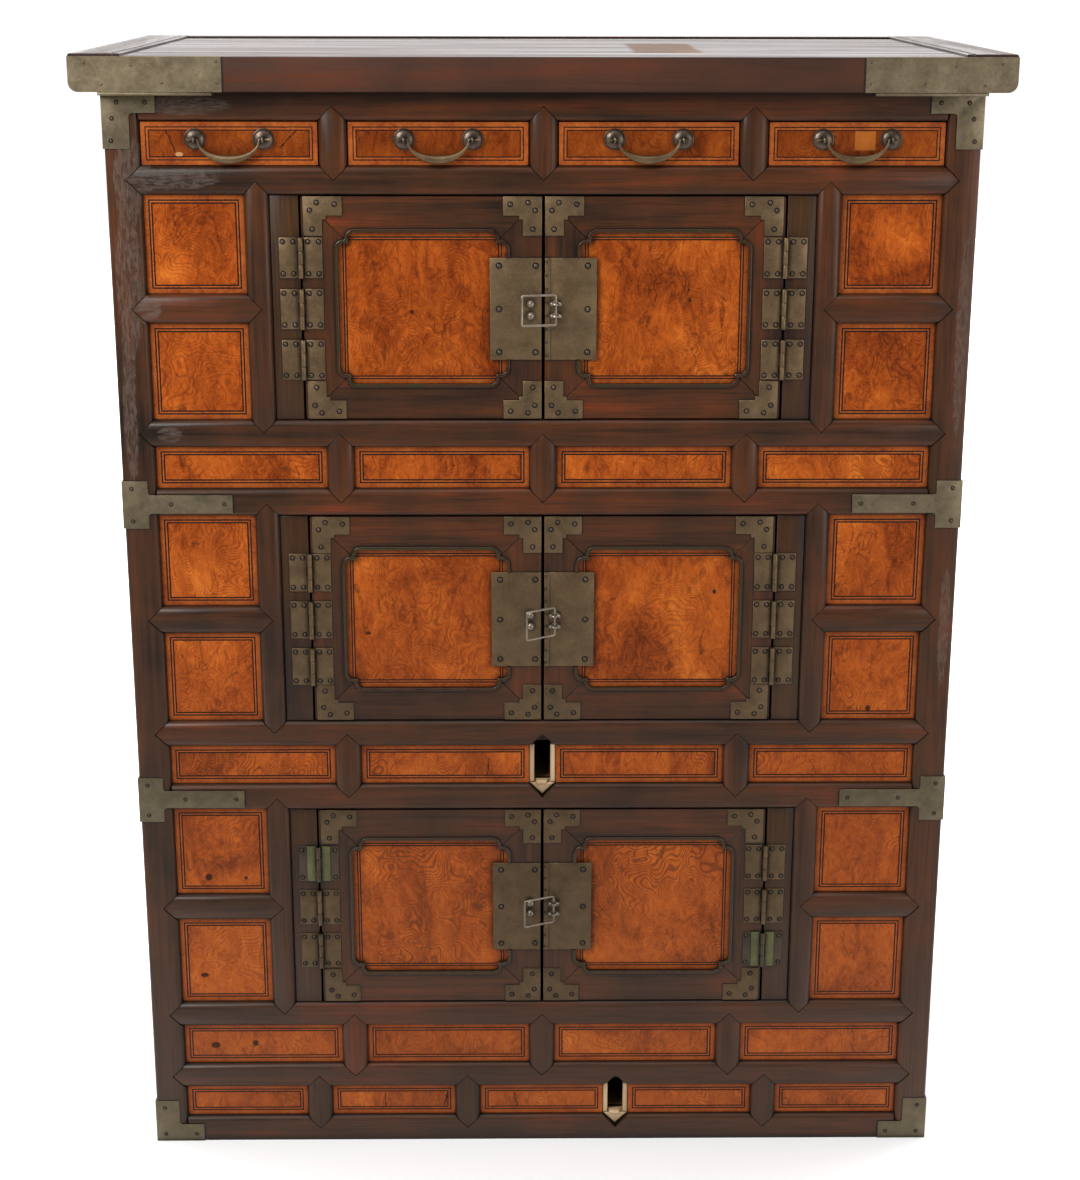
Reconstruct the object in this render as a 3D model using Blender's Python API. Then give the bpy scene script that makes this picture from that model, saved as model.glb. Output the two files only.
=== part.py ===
"""Korean three-tier clothes chest: a joined carcass, four drawers, three pairs of doors and brass fittings.

Metres, +Z up, the front faces -Y. Lengths along Y in the helpers are measured back from the carcass's face plane.
"""

from math import cos, pi, radians, sin

import bmesh
import bpy
from mathutils import Matrix, Vector

# Carcass
WIDTH = 0.998
DEPTH = 0.503
POST = 0.040
POST_DEPTH = 0.045
RAIL = 0.0335
RAIL_DEPTH = 0.030
RAIL_ROUND = 0.010
RAIL_SET = 0.0006
GAP = 0.0003

# Heights of the rows between the rails, from the floor up
FOOT_ROW = 0.042
LOWER_ROW = 0.054
LOWER_DOORS = 0.265
MIDDLE_ROW = 0.050
MIDDLE_DOORS = 0.260
UPPER_ROW = 0.050
UPPER_DOORS = 0.262
DRAWER_ROW = 0.0495

# Face members
DIVIDER = 0.033
DIVIDER_TIP = 0.0155
DIVIDER_ROUND = 0.005
DIVIDER_PROUD = 0.0004
DIVIDER_STEP = 0.240
FOOT_DIVIDER_STEP = 0.1915
LOST_SLOT = 0.020
LOST_MORTISE = 0.006
STILE = 0.030
BAY_PANEL = 0.115
CROSSBAR = 0.035
PANEL_SET = 0.009
PANEL = 0.012

# Boards
WALL = 0.012
WALL_SET = 0.012
BACK = 0.010
BACK_SET = 0.008
FLOOR = 0.012
PARTITION = 0.010

# Top slab
SLAB = 0.039
SLAB_SIDE = 0.030
SLAB_FRONT = 0.028
SLAB_REAR = 0.012
END_BOARD = 0.058
END_LIP = 0.003
SLAB_ROUND = 0.011
STRAP = 0.0012
STRAP_LENGTH = 0.170
STRAP_RETURN = 0.110
STRAP_LIP = 0.020

# Doors
DOOR_SET = 0.005
DOOR = 0.020
DOOR_CLEAR = 0.0012
JAMB = 0.034
FRAME = 0.037
REBATE = 0.006
DOOR_PANEL = 0.008
DOOR_PANEL_SET = 0.004
BEAD = 0.004
BEAD_PROUD = 0.0024
BEAD_STEP = 0.013

# Door fittings
PLATE = 0.0012
CORNER = 0.045
CORNER_ARM = 0.022
HINGE_LEAF = 0.025
HINGE_TALL = 0.047
HINGE_PITCH = 0.0595
KNUCKLE = 0.003
KNUCKLE_CLEAR = 0.0006
HINGE_PIN = 0.0012
PIN_CLEAR = 0.0005
AXIS_PROUD = 0.0036
LOCK_WIDE = 0.060
LOCK_TALL = 0.119
HASP_LONG = 0.040
HASP_TALL = 0.035
HASP_WIRE = 0.0015
EYE_REACH = 0.0070
EYE_INSET = 0.0145
EYE_SPREAD = 0.0070
EYE_RING = 0.0035
EYE_WIRE = 0.0015
BALL = 0.0046
BALL_REACH = 0.0050
SHANK = 0.0018
HASP_REST = {"upper": 10.0, "middle": 32.0, "lower": 24.0}

# Drawers
DRAWER_CLEAR = 0.0010
DRAWER_FRONT = 0.014
DRAWER_SET = 0.006
DRAWER_ROOM = 0.0447
DRAWER_LONG = DEPTH - BACK_SET - BACK - DRAWER_ROOM - DRAWER_FRONT - DRAWER_SET - GAP
DRAWER_WALL = 0.008
DRAWER_FLOOR = 0.005
PULL_SPREAD = 0.039
PULL_RISE = 0.005
ROSETTE = 0.0117
ROSETTE_DOME = 0.0055
ROSETTE_SIDES = 14
PULL_REACH = 0.0085
PULL_RING = 0.0032
PULL_RING_WIRE = 0.0014
BAIL_WIRE = 0.0013
BAIL_MIDDLE = 0.0038
BAIL_DROP = 0.0225
BAIL_END = 0.0040

# Carcass fittings
TOP_PLATE = 0.061
TOP_PLATE_DROP = 0.064
TEE_LONG = 0.131
TEE_ARM = 0.0246
TEE_POST = 0.060
FOOT_PLATE = 0.062
FOOT_PLATE_TALL = 0.058
PLATE_RETURN = 0.040

# Finishes: colour, roughness, metallic
DARK_WOOD = ((0.080, 0.022, 0.010, 1.0), 0.38, 0.0)
BURL = ((0.420, 0.120, 0.022, 1.0), 0.34, 0.0)
INNER_WOOD = ((0.330, 0.210, 0.110, 1.0), 0.70, 0.0)
OLD_BRASS = ((0.190, 0.150, 0.075, 1.0), 0.42, 0.9)

HALF = WIDTH / 2
INNER = HALF - POST
BAY_OUT = INNER
STILE_OUT = BAY_OUT - BAY_PANEL
STILE_IN = STILE_OUT - STILE
JAMB_IN = STILE_IN - JAMB
FACE_Y = SLAB_FRONT + STRAP + GAP - (DEPTH + SLAB_FRONT + SLAB_REAR + STRAP + GAP) / 2
SIDES = (("left", -1), ("right", 1))
TIERS = ("upper", "middle", "lower")

STACK = (
    ("base_rail", RAIL),
    ("foot_row", FOOT_ROW),
    ("foot_rail", RAIL),
    ("lower_row", LOWER_ROW),
    ("lower_sill", RAIL),
    ("lower_doors", LOWER_DOORS),
    ("lower_head", RAIL),
    ("middle_row", MIDDLE_ROW),
    ("middle_sill", RAIL),
    ("middle_doors", MIDDLE_DOORS),
    ("middle_head", RAIL),
    ("upper_row", UPPER_ROW),
    ("upper_sill", RAIL),
    ("upper_doors", UPPER_DOORS),
    ("upper_head", RAIL),
    ("drawer_row", DRAWER_ROW),
    ("top_rail", RAIL),
)


def stack_levels():
    """Return {member: (bottom, top)} by piling the rails and rows from the floor up."""
    levels = {}
    height = 0.0
    for member, tall in STACK:
        levels[member] = (height, height + tall)
        height += tall
    return levels


LEVEL = stack_levels()
HEIGHT = LEVEL["top_rail"][1]


# Scene and collections
def clear_scene():
    """Empty the file and return the collections for parts and for cutters."""
    for obj in list(bpy.data.objects):
        bpy.data.objects.remove(obj)
    parts = bpy.data.collections.new("three_tier_chest")
    helpers = bpy.data.collections.new("cutters")
    helpers.hide_render = True
    for collection in (parts, helpers):
        bpy.context.scene.collection.children.link(collection)
    return parts, helpers


PARTS, HELPERS = clear_scene()


def helper(mesh):
    """Keep a mesh as a hidden helper that a Boolean joins or cuts with."""
    obj = bpy.data.objects.new("helper", mesh)
    obj.hide_render = True
    obj.display_type = "WIRE"
    HELPERS.objects.link(obj)
    return obj


def mesh_from(bm, name="helper"):
    """Turn a bmesh into a mesh with outward faces."""
    bmesh.ops.recalc_face_normals(bm, faces=bm.faces)
    mesh = bpy.data.meshes.new(name)
    bm.to_mesh(mesh)
    bm.free()
    return mesh


# Solid building blocks
def box(x, y, z, rounded=None, radius=0.0, segments=2):
    """Make a box from (low, high) pairs; rounded(edge middle) picks the edges that get a radius."""
    bm = bmesh.new()
    bmesh.ops.create_cube(bm, size=1.0)
    size = Vector((x[1] - x[0], y[1] - y[0], z[1] - z[0]))
    middle = Vector((x[0] + x[1], y[0] + y[1], z[0] + z[1])) / 2 + Vector((0, FACE_Y, 0))
    bmesh.ops.transform(bm, matrix=Matrix.Translation(middle) @ Matrix.Diagonal((*size, 1.0)), verts=bm.verts)
    if rounded:
        chosen = [e for e in bm.edges if rounded((e.verts[0].co + e.verts[1].co) / 2 - middle)]
        bmesh.ops.bevel(bm, geom=chosen, offset=radius, segments=segments, profile=0.5, affect="EDGES")
    return helper(mesh_from(bm))


def front_long(tall, deep):
    """Pick the two long front edges of a rail this tall and deep."""
    return lambda m: abs(m.x) < 1e-6 and m.y < -deep / 2 + 1e-6 and abs(abs(m.z) - tall / 2) < 1e-6


def front_upright(wide, deep):
    """Pick the two upright front edges of a stile this wide and deep."""
    return lambda m: abs(m.z) < 1e-6 and m.y < -deep / 2 + 1e-6 and abs(abs(m.x) - wide / 2) < 1e-6


def rail(x, z, back=RAIL_DEPTH):
    """Make a horizontal rail with a convex front."""
    y = (RAIL_SET, back)
    return box(x, y, z, front_long(z[1] - z[0], y[1] - y[0]), RAIL_ROUND, 3)


def mesh_of_curve(curve):
    """Turn a curve into a closed mesh with its caps welded."""
    holder = bpy.data.objects.new("outline", curve)
    HELPERS.objects.link(holder)
    graph = bpy.context.evaluated_depsgraph_get()
    mesh = bpy.data.meshes.new_from_object(holder.evaluated_get(graph))
    bpy.data.objects.remove(holder)
    bm = bmesh.new()
    bm.from_mesh(mesh)
    bmesh.ops.remove_doubles(bm, verts=bm.verts, dist=1e-6)
    bpy.data.meshes.remove(mesh)
    return bm


def plate(outlines, y, rounding=0.0):
    """Make a flat piece facing the front from closed (x, z) outlines; inner outlines are holes."""
    curve = bpy.data.curves.new("outline", "CURVE")
    curve.dimensions = "2D"
    curve.fill_mode = "BOTH"
    curve.extrude = (y[1] - y[0]) / 2 - rounding
    curve.bevel_depth = rounding
    curve.bevel_resolution = 0
    curve.offset = -rounding
    for outline in outlines:
        spline = curve.splines.new("POLY")
        spline.points.add(len(outline) - 1)
        for point, (px, pz) in zip(spline.points, outline):
            point.co = (px, pz, 0.0, 1.0)
        spline.use_cyclic_u = True
    bm = mesh_of_curve(curve)
    place = Matrix.Translation((0, FACE_Y + (y[0] + y[1]) / 2, 0)) @ Matrix.Rotation(pi / 2, 4, "X")
    bmesh.ops.transform(bm, matrix=place, verts=bm.verts)
    return helper(mesh_from(bm))


def rod(start, along, length, radius, sides=8):
    """Make a round rod from a point in face coordinates along an axis vector."""
    bm = bmesh.new()
    bmesh.ops.create_cone(bm, cap_ends=True, segments=sides, radius1=radius, radius2=radius, depth=length)
    along = Vector(along).normalized()
    turn = Vector((0, 0, 1)).rotation_difference(along).to_matrix().to_4x4()
    middle = Vector((start[0], start[1] + FACE_Y, start[2])) + along * length / 2
    bmesh.ops.transform(bm, matrix=Matrix.Translation(middle) @ turn, verts=bm.verts)
    return helper(mesh_from(bm))


def ball(middle, radius, squash=1.0, rings=6, sides=8):
    """Make a ball with its poles along Y, flattened along Y by squash."""
    bm = bmesh.new()
    bmesh.ops.create_uvsphere(bm, u_segments=sides, v_segments=rings, radius=radius)
    place = Matrix.Translation((middle[0], middle[1] + FACE_Y, middle[2]))
    shape = Matrix.Diagonal((1, squash, 1, 1)) @ Matrix.Rotation(pi / 2, 4, "X")
    bmesh.ops.transform(bm, matrix=place @ shape, verts=bm.verts)
    return helper(mesh_from(bm))


def wire(points, radii, closed=False, resolution=1):
    """Make a wire through points given from the joint's origin; radii scale a bevel of 1 m."""
    curve = bpy.data.curves.new("wire", "CURVE")
    curve.dimensions = "3D"
    curve.bevel_depth = 1.0
    curve.bevel_resolution = resolution
    curve.use_fill_caps = not closed
    spline = curve.splines.new("POLY")
    spline.points.add(len(points) - 1)
    for point, place, radius in zip(spline.points, points, radii):
        point.co = (*place, 1.0)
        point.radius = radius
    spline.use_cyclic_u = closed
    return mesh_from(mesh_of_curve(curve))


def ring(middle, axis, radius, thick, sides=8):
    """Make a closed ring of wire round an axis (X or Z) through a point in face coordinates."""
    points = []
    for step in range(sides):
        turn = 2 * pi * step / sides
        across, out = radius * cos(turn), radius * sin(turn)
        points.append((0, across, out) if axis == "X" else (across, out, 0))
    mesh = wire(points, [thick] * sides, closed=True)
    mesh.transform(Matrix.Translation((middle[0], middle[1] + FACE_Y, middle[2])))
    return helper(mesh)


# Nodes
def finish(name, mesh, look, origin=(0.0, 0.0, 0.0), parent=None):
    """Make the named part from a mesh in world coordinates, with its origin on its joint."""
    colour, roughness, metallic = look
    material = bpy.data.materials.new(name)
    material.use_nodes = True
    shader = material.node_tree.nodes["Principled BSDF"]
    shader.inputs["Base Color"].default_value = colour
    shader.inputs["Roughness"].default_value = roughness
    shader.inputs["Metallic"].default_value = metallic
    material.diffuse_color = colour
    mesh.name = name
    mesh.materials.clear()
    mesh.materials.append(material)
    mesh.transform(Matrix.Translation(-Vector(origin)))
    mesh.shade_smooth()
    mesh.set_sharp_from_angle(angle=radians(35))
    obj = bpy.data.objects.new(name, mesh)
    obj.location = origin
    PARTS.objects.link(obj)
    if parent:
        obj.location = Vector(origin) - parent.location
        obj.parent = parent
    return obj


def joined(pieces, cuts=()):
    """Return the mesh of the pieces joined by Boolean unions, less the cuts."""
    base, rest = pieces[0], pieces[1:]
    for operation, others in (("UNION", rest), ("DIFFERENCE", cuts)):
        if not others:
            continue
        group = bpy.data.collections.new("operands")
        for other in others:
            group.objects.link(other)
        step = base.modifiers.new(operation.lower(), "BOOLEAN")
        step.operation = operation
        step.solver = "EXACT"
        step.operand_type = "COLLECTION"
        step.collection = group
    bpy.context.view_layer.update()
    graph = bpy.context.evaluated_depsgraph_get()
    mesh = bpy.data.meshes.new_from_object(base.evaluated_get(graph))
    for obj in (*pieces, *cuts):
        bpy.data.objects.remove(obj)
    for group in [c for c in bpy.data.collections if c.name.startswith("operands")]:
        bpy.data.collections.remove(group)
    return mesh


def part(name, pieces, look, cuts=(), origin=(0.0, 0.0, 0.0), parent=None):
    """Join the pieces, cut them and make the named part."""
    return finish(name, joined(pieces, cuts), look, origin, parent)


def pivot(name, place):
    """Make the empty that a moving body hangs from, on its joint's axis."""
    empty = bpy.data.objects.new(name, None)
    empty.empty_display_size = 0.02
    empty.location = place
    PARTS.objects.link(empty)
    return empty


# Outlines
def span(a, b):
    """Return a and b in rising order."""
    return (min(a, b), max(a, b))


def oblong(x, z):
    """Outline of a rectangle."""
    return [(x[0], z[0]), (x[1], z[0]), (x[1], z[1]), (x[0], z[1])]


def pointed(middle, z, wide=DIVIDER, tip=DIVIDER_TIP):
    """Outline of an upright strip with a mitred point at each end."""
    half = wide / 2
    return [
        (middle - half, z[0]),
        (middle, z[0] - tip),
        (middle + half, z[0]),
        (middle + half, z[1]),
        (middle, z[1] + tip),
        (middle - half, z[1]),
    ]


def notched(x, z, step):
    """Outline of a rectangle whose corners are cut in by a square step, with a round inner corner."""
    outline = []
    for sx, sz in ((0, 0), (1, 0), (1, 1), (0, 1)):
        ox, oz = (1 if sx == 0 else -1), (1 if sz == 0 else -1)
        corner = [
            (x[sx], z[sz] + oz * step),
            (x[sx] + ox * step * 0.62, z[sz] + oz * step),
            (x[sx] + ox * step * 0.90, z[sz] + oz * step * 0.90),
            (x[sx] + ox * step, z[sz] + oz * step * 0.62),
            (x[sx] + ox * step, z[sz]),
        ]
        outline += corner if sx == sz else corner[::-1]
    return outline


def angle_plate(x, z, to_x, to_z):
    """Outline of an L plate at corner (x, z) whose inner corner is stepped; to_x and to_z are its directions."""
    step = CORNER_ARM * 0.18
    path = (
        (0.0, 0.0),
        (CORNER, 0.0),
        (CORNER, CORNER_ARM),
        (CORNER_ARM + step, CORNER_ARM),
        (CORNER_ARM + step, CORNER_ARM + step),
        (CORNER_ARM, CORNER_ARM + step),
        (CORNER_ARM, CORNER),
        (0.0, CORNER),
    )
    return [(x + to_x * px, z + to_z * pz) for px, pz in path]


# Carcass frame
def wrapped(sign, outline, z):
    """Brass plate on a post's face that turns the corner onto its side."""
    side = span(sign * (HALF - GAP), sign * (HALF + PLATE))
    return [
        plate([outline], (-PLATE, GAP)),
        box(side, (-PLATE / 2, PLATE_RETURN), z),
    ]


def post_plates(sign):
    """Brass on one front post: a top angle, two tees where the tiers meet and a foot angle."""
    out = sign * (HALF + PLATE)
    inner = sign * INNER
    plates = []
    top = HEIGHT - GAP
    drop = top - TOP_PLATE_DROP
    reach = sign * (HALF - TOP_PLATE)
    level = LEVEL["top_rail"][0]
    outline = [(out, drop), (inner, drop), (inner, level), (reach, level), (reach, top), (out, top)]
    plates += wrapped(sign, outline, (drop, top))
    for head in ("middle_head", "lower_head"):
        middle = sum(LEVEL[head]) / 2
        low, high = middle - TEE_POST / 2, middle + TEE_POST / 2
        reach = sign * (HALF - TEE_LONG)
        arm = TEE_ARM / 2
        outline = [(out, low), (inner, low), (inner, middle - arm), (reach, middle - arm)]
        outline += [(reach, middle + arm), (inner, middle + arm), (inner, high), (out, high)]
        plates += wrapped(sign, outline, (low, high))
    reach = sign * (HALF - FOOT_PLATE)
    level = LEVEL["base_rail"][1]
    outline = [(out, GAP), (reach, GAP), (reach, level), (inner, level), (inner, FOOT_PLATE_TALL), (out, FOOT_PLATE_TALL)]
    plates += wrapped(sign, outline, (GAP, FOOT_PLATE_TALL))
    return plates


def make_posts():
    """Four corner posts; the front ones carry their brass angles and tees."""
    for name, sign in SIDES:
        x = span(sign * INNER, sign * HALF)
        front = box(x, (0.0, POST_DEPTH), (0.0, HEIGHT))
        part(f"{name}_front_post", [front, *post_plates(sign)], DARK_WOOD)
        part(f"{name}_back_post", [box(x, (DEPTH - POST, DEPTH), (0.0, HEIGHT))], DARK_WOOD)


def make_side_walls():
    """Side boards between the posts, with a rail flush with the posts at each tier."""
    y = (POST_DEPTH + GAP, DEPTH - POST - GAP)
    for name, sign in SIDES:
        outer = HALF - WALL_SET
        board = box(span(sign * (outer - WALL), sign * outer), y, (GAP, HEIGHT - GAP))
        rails = []
        for level in ("base_rail", "lower_head", "middle_head", "top_rail"):
            low, high = LEVEL[level]
            z = (max(low, GAP), min(high, HEIGHT - GAP))
            rails.append(box(span(sign * (outer - WALL / 2), sign * HALF), y, z))
        part(f"{name}_side_wall", [board, *rails], DARK_WOOD)


def make_back():
    """Back board between the back posts, with rails behind each tier's floor."""
    x = (-INNER + GAP, INNER - GAP)
    y = (DEPTH - BACK_SET - BACK, DEPTH - BACK_SET)
    board = box(x, y, (GAP, HEIGHT - GAP))
    rails = []
    for level in ("base_rail", "lower_head", "middle_head", "top_rail"):
        low, high = LEVEL[level]
        z = (max(low, GAP), min(high, HEIGHT - GAP))
        rails.append(box(x, (y[0] + BACK / 2, DEPTH), z))
    part("back_panel", [board, *rails], INNER_WOOD)


def make_belt(name, rails, rows, look):
    """One front belt: convex rails, mitred dividers and, behind them, the burl fields of each row.

    rows holds (row, divider places, lost divider places, whether it has burl fields).
    """
    x = (-INNER + GAP, INNER - GAP)
    ends = (0.0 + GAP, HEIGHT - GAP)
    pieces, cuts = [], []
    for member in rails:
        low, high = LEVEL[member]
        pieces.append(rail(x, (max(low, ends[0]), min(high, ends[1]))))
    divider = (RAIL_SET - DIVIDER_PROUD, RAIL_DEPTH - DIVIDER_ROUND)
    for row, places, lost, fields in rows:
        low, high = LEVEL[row]
        if fields:
            pieces.append(box(x, (PANEL_SET, PANEL_SET + PANEL), (low - RAIL / 2, high + RAIL / 2)))
        for place in places:
            pieces.append(plate([pointed(place, (low, high))], divider, DIVIDER_ROUND))
        for place in lost:
            slot = (place - LOST_SLOT / 2, place + LOST_SLOT / 2)
            cuts.append(box(slot, (-RAIL_DEPTH, 2 * RAIL_DEPTH), (low, high)))
            cuts.append(plate([pointed(place, (low, high), LOST_SLOT, DIVIDER_TIP)], (-RAIL_DEPTH, LOST_MORTISE)))
    part(name, pieces, look, cuts)


def make_belts():
    """The four front belts that tie the posts together."""
    thirds = (-DIVIDER_STEP, 0.0, DIVIDER_STEP)
    feet = tuple(FOOT_DIVIDER_STEP * k for k in (-1.5, -0.5, 1.5))
    make_belt("drawer_rails", ("upper_head", "top_rail"), (("drawer_row", thirds, (), False),), DARK_WOOD)
    make_belt("upper_belt", ("middle_head", "upper_sill"), (("upper_row", thirds, (), True),), DARK_WOOD)
    pair = (-DIVIDER_STEP, DIVIDER_STEP)
    make_belt("middle_belt", ("lower_head", "middle_sill"), (("middle_row", pair, (0.0,), True),), DARK_WOOD)
    rows = (
        ("foot_row", feet, (FOOT_DIVIDER_STEP * 0.5,), True),
        ("lower_row", thirds, (), True),
    )
    make_belt("base_belt", ("base_rail", "foot_rail", "lower_sill"), rows, DARK_WOOD)


# Hinges
def hinge_levels(tier):
    """Middle heights of a door's three hinges."""
    middle = sum(LEVEL[f"{tier}_doors"]) / 2
    return [middle + k * HINGE_PITCH for k in (-1, 0, 1)]


def hinge_axis(sign):
    """(x, y) of a door's hinge axis in face coordinates."""
    return sign * JAMB_IN, DOOR_SET - AXIS_PROUD


def hinge_leaf(sign, outward, level, knuckles):
    """Brass leaf on one side of the axis, with tabs that carry its knuckles."""
    x, y = hinge_axis(sign)
    near = KNUCKLE + KNUCKLE_CLEAR
    z = (level - HINGE_TALL / 2, level + HINGE_TALL / 2)
    flat = (DOOR_SET - PLATE, DOOR_SET + GAP)
    leaf = [box(span(x + outward * near, x + outward * HINGE_LEAF), flat, z)]
    for low, high in knuckles:
        leaf.append(box(span(x, x + outward * (near + PLATE)), flat, (low, high)))
        leaf.append(rod((x, y, low), (0, 0, 1), high - low, KNUCKLE))
    return leaf


def knuckle_spans(level):
    """(low, middle, high) knuckle spans of one hinge, with their running gaps."""
    third = HINGE_TALL / 3
    low = level - HINGE_TALL / 2
    return (
        (low, low + third),
        (low + third + GAP, low + 2 * third - GAP),
        (low + 2 * third, low + HINGE_TALL),
    )


# Side bays
def make_bay(tier, name, sign):
    """Stile, crossbar, two burl panels and the hinge jamb beside one door."""
    low, high = LEVEL[f"{tier}_doors"]
    z = (low + GAP, high - GAP)
    middle = (low + high) / 2
    outer = sign * (BAY_OUT - GAP)
    stile_x = span(sign * STILE_IN, sign * STILE_OUT)
    stile_y = (RAIL_SET, RAIL_DEPTH)
    stile = box(stile_x, stile_y, z, front_upright(STILE, RAIL_DEPTH - RAIL_SET), RAIL_ROUND, 3)
    field = box(span(outer, sign * (STILE_OUT - STILE / 2)), (PANEL_SET, PANEL_SET + PANEL), z)
    jamb = box(span(sign * (JAMB_IN + DOOR_CLEAR), sign * (STILE_IN + STILE / 2)), (DOOR_SET, RAIL_DEPTH - 0.002), z)
    half = CROSSBAR / 2
    tip = sign * STILE_OUT
    bar_outline = [(outer, middle - half), (tip, middle - half), (tip - sign * DIVIDER_TIP, middle)]
    bar_outline += [(tip, middle + half), (outer, middle + half)]
    bar = plate([bar_outline], (RAIL_SET - DIVIDER_PROUD, RAIL_DEPTH - DIVIDER_ROUND), DIVIDER_ROUND)
    pieces = [stile, field, jamb, bar]
    axis_x, axis_y = hinge_axis(sign)
    for level in hinge_levels(tier):
        bottom, _, top = knuckle_spans(level)
        pieces += hinge_leaf(sign, sign, level, (bottom, top))
        pin = (axis_x, axis_y, bottom[0] + HINGE_TALL / 6)
        pieces.append(rod(pin, (0, 0, 1), HINGE_TALL * 2 / 3, HINGE_PIN, 6))
    part(f"{tier}_{name}_bay", pieces, DARK_WOOD)


# Doors
def door_spans(tier, sign):
    """((x low, high), (z low, high)) of one door leaf."""
    low, high = LEVEL[f"{tier}_doors"]
    x = span(sign * DOOR_CLEAR / 2, sign * (JAMB_IN - DOOR_CLEAR))
    return x, (low + DOOR_CLEAR, high - DOOR_CLEAR)


def inset(pair, by):
    """Shrink a (low, high) pair at both ends."""
    return (pair[0] + by, pair[1] - by)


def lock_spans(tier, sign):
    """((x low, high), (z low, high)) of one lock plate."""
    middle = sum(LEVEL[f"{tier}_doors"]) / 2
    edge = sign * (DOOR_CLEAR / 2 + GAP)
    return span(edge, edge + sign * LOCK_WIDE), (middle - LOCK_TALL / 2, middle + LOCK_TALL / 2)


def make_door(tier, name, sign):
    """One door: moulded frame with its brass angles and hinge leaves, burl panel and lock plate."""
    x, z = door_spans(tier, sign)
    axis_x, axis_y = hinge_axis(sign)
    axis = (axis_x, axis_y + FACE_Y, 0.0)
    hub = pivot(f"{tier}_{name}_door", axis)
    depth = (DOOR_SET, DOOR_SET + DOOR)
    sight_x, sight_z = inset(x, FRAME + BEAD / 2), inset(z, FRAME + BEAD / 2)
    rebate = DOOR_SET + DOOR_PANEL_SET
    pieces = [box(x, depth, z)]
    cuts = [
        plate([notched(sight_x, sight_z, BEAD_STEP)], (-DOOR, 2 * DOOR)),
        box(inset(sight_x, -REBATE), (rebate, 2 * DOOR), inset(sight_z, -REBATE)),
    ]
    bead_y = (DOOR_SET - BEAD_PROUD, rebate)
    outer_x, outer_z = inset(x, FRAME), inset(z, FRAME)
    rim = [notched(outer_x, outer_z, BEAD_STEP), notched(inset(outer_x, BEAD), inset(outer_z, BEAD), BEAD_STEP)]
    bead = plate(rim, bead_y)
    lock_x, lock_z = lock_spans(tier, sign)
    clear = box(inset(lock_x, -GAP), (-DOOR, DOOR_SET + GAP), inset(lock_z, -GAP))
    bead_mesh = joined([bead], [clear])
    hinge_edge = sign * (JAMB_IN - KNUCKLE - KNUCKLE_CLEAR)
    corners = [
        plate([angle_plate(edge, z[k], to_x, 1 - 2 * k)], (DOOR_SET - PLATE, DOOR_SET + GAP))
        for edge, to_x in ((hinge_edge, -sign), (sign * DOOR_CLEAR / 2, sign))
        for k in (0, 1)
    ]
    leaves, bores = [], []
    for level in hinge_levels(tier):
        _, middle, _ = knuckle_spans(level)
        leaves += hinge_leaf(sign, -sign, level, (middle,))
        bore = (axis_x, axis_y, middle[0] - HINGE_PIN)
        bores.append(rod(bore, (0, 0, 1), HINGE_TALL / 3 + 2 * HINGE_PIN, HINGE_PIN + PIN_CLEAR, 6))
    frame = helper(joined(pieces, cuts))
    part(f"{tier}_{name}_door_frame", [frame, helper(bead_mesh), *corners, *leaves], DARK_WOOD, bores, axis, hub)
    panel_x, panel_z = inset(sight_x, GAP - REBATE), inset(sight_z, GAP - REBATE)
    panel = box(panel_x, (rebate + GAP, rebate + GAP + DOOR_PANEL), panel_z)
    part(f"{tier}_{name}_door_panel", [panel], BURL, (), axis, hub)
    make_lock_plate(tier, name, sign, axis, hub)
    return hub


def eye_levels(tier):
    """Heights of a lock's two posts or eyes."""
    middle = sum(LEVEL[f"{tier}_doors"]) / 2
    return (middle - EYE_SPREAD, middle + EYE_SPREAD)


def hasp_axis():
    """(x, y) of the hasps' hinge axis in face coordinates."""
    return EYE_INSET, DOOR_SET - GAP - PLATE - EYE_REACH


def make_lock_plate(tier, name, sign, axis, hub):
    """Lock plate with two ball posts on the left door, or two ring eyes for the hasp on the right."""
    x, z = lock_spans(tier, sign)
    face = DOOR_SET - GAP - PLATE
    pieces = [plate([oblong(x, z)], (face, face + PLATE))]
    place = sign * EYE_INSET
    for level in eye_levels(tier):
        if sign < 0:
            pieces.append(rod((place, face + PLATE / 2, level), (0, -1, 0), BALL_REACH, SHANK, 6))
            pieces.append(ball((place, face - BALL_REACH, level), BALL, 0.85))
        else:
            length = EYE_REACH - EYE_RING + PLATE / 2
            pieces.append(rod((place, face + PLATE / 2, level), (0, -1, 0), length, SHANK, 6))
            pieces.append(ring((place, face - EYE_REACH, level), "Z", EYE_RING, EYE_WIRE))
    part(f"{tier}_{name}_lock_plate", pieces, OLD_BRASS, (), axis, hub)


def make_hasp(tier, hub):
    """Square wire loop that turns in the right door's eyes and drops over the left door's posts."""
    x, y = hasp_axis()
    middle = sum(LEVEL[f"{tier}_doors"]) / 2
    origin = (x, y + FACE_Y, middle)
    tall, soft = HASP_TALL / 2, 2 * HASP_WIRE
    flat = [
        (0, -tall + soft),
        (0, tall - soft),
        (-soft, tall),
        (-HASP_LONG + soft, tall),
        (-HASP_LONG, tall - soft),
        (-HASP_LONG, -tall + soft),
        (-HASP_LONG + soft, -tall),
        (-soft, -tall),
    ]
    swing = radians(HASP_REST[tier])
    points = [(px * cos(swing), px * sin(swing), pz) for px, pz in flat]
    mesh = wire(points, [HASP_WIRE] * len(points), closed=True)
    mesh.transform(Matrix.Translation(origin))
    finish(f"{tier}_hasp", mesh, OLD_BRASS, origin, hub)


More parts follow.
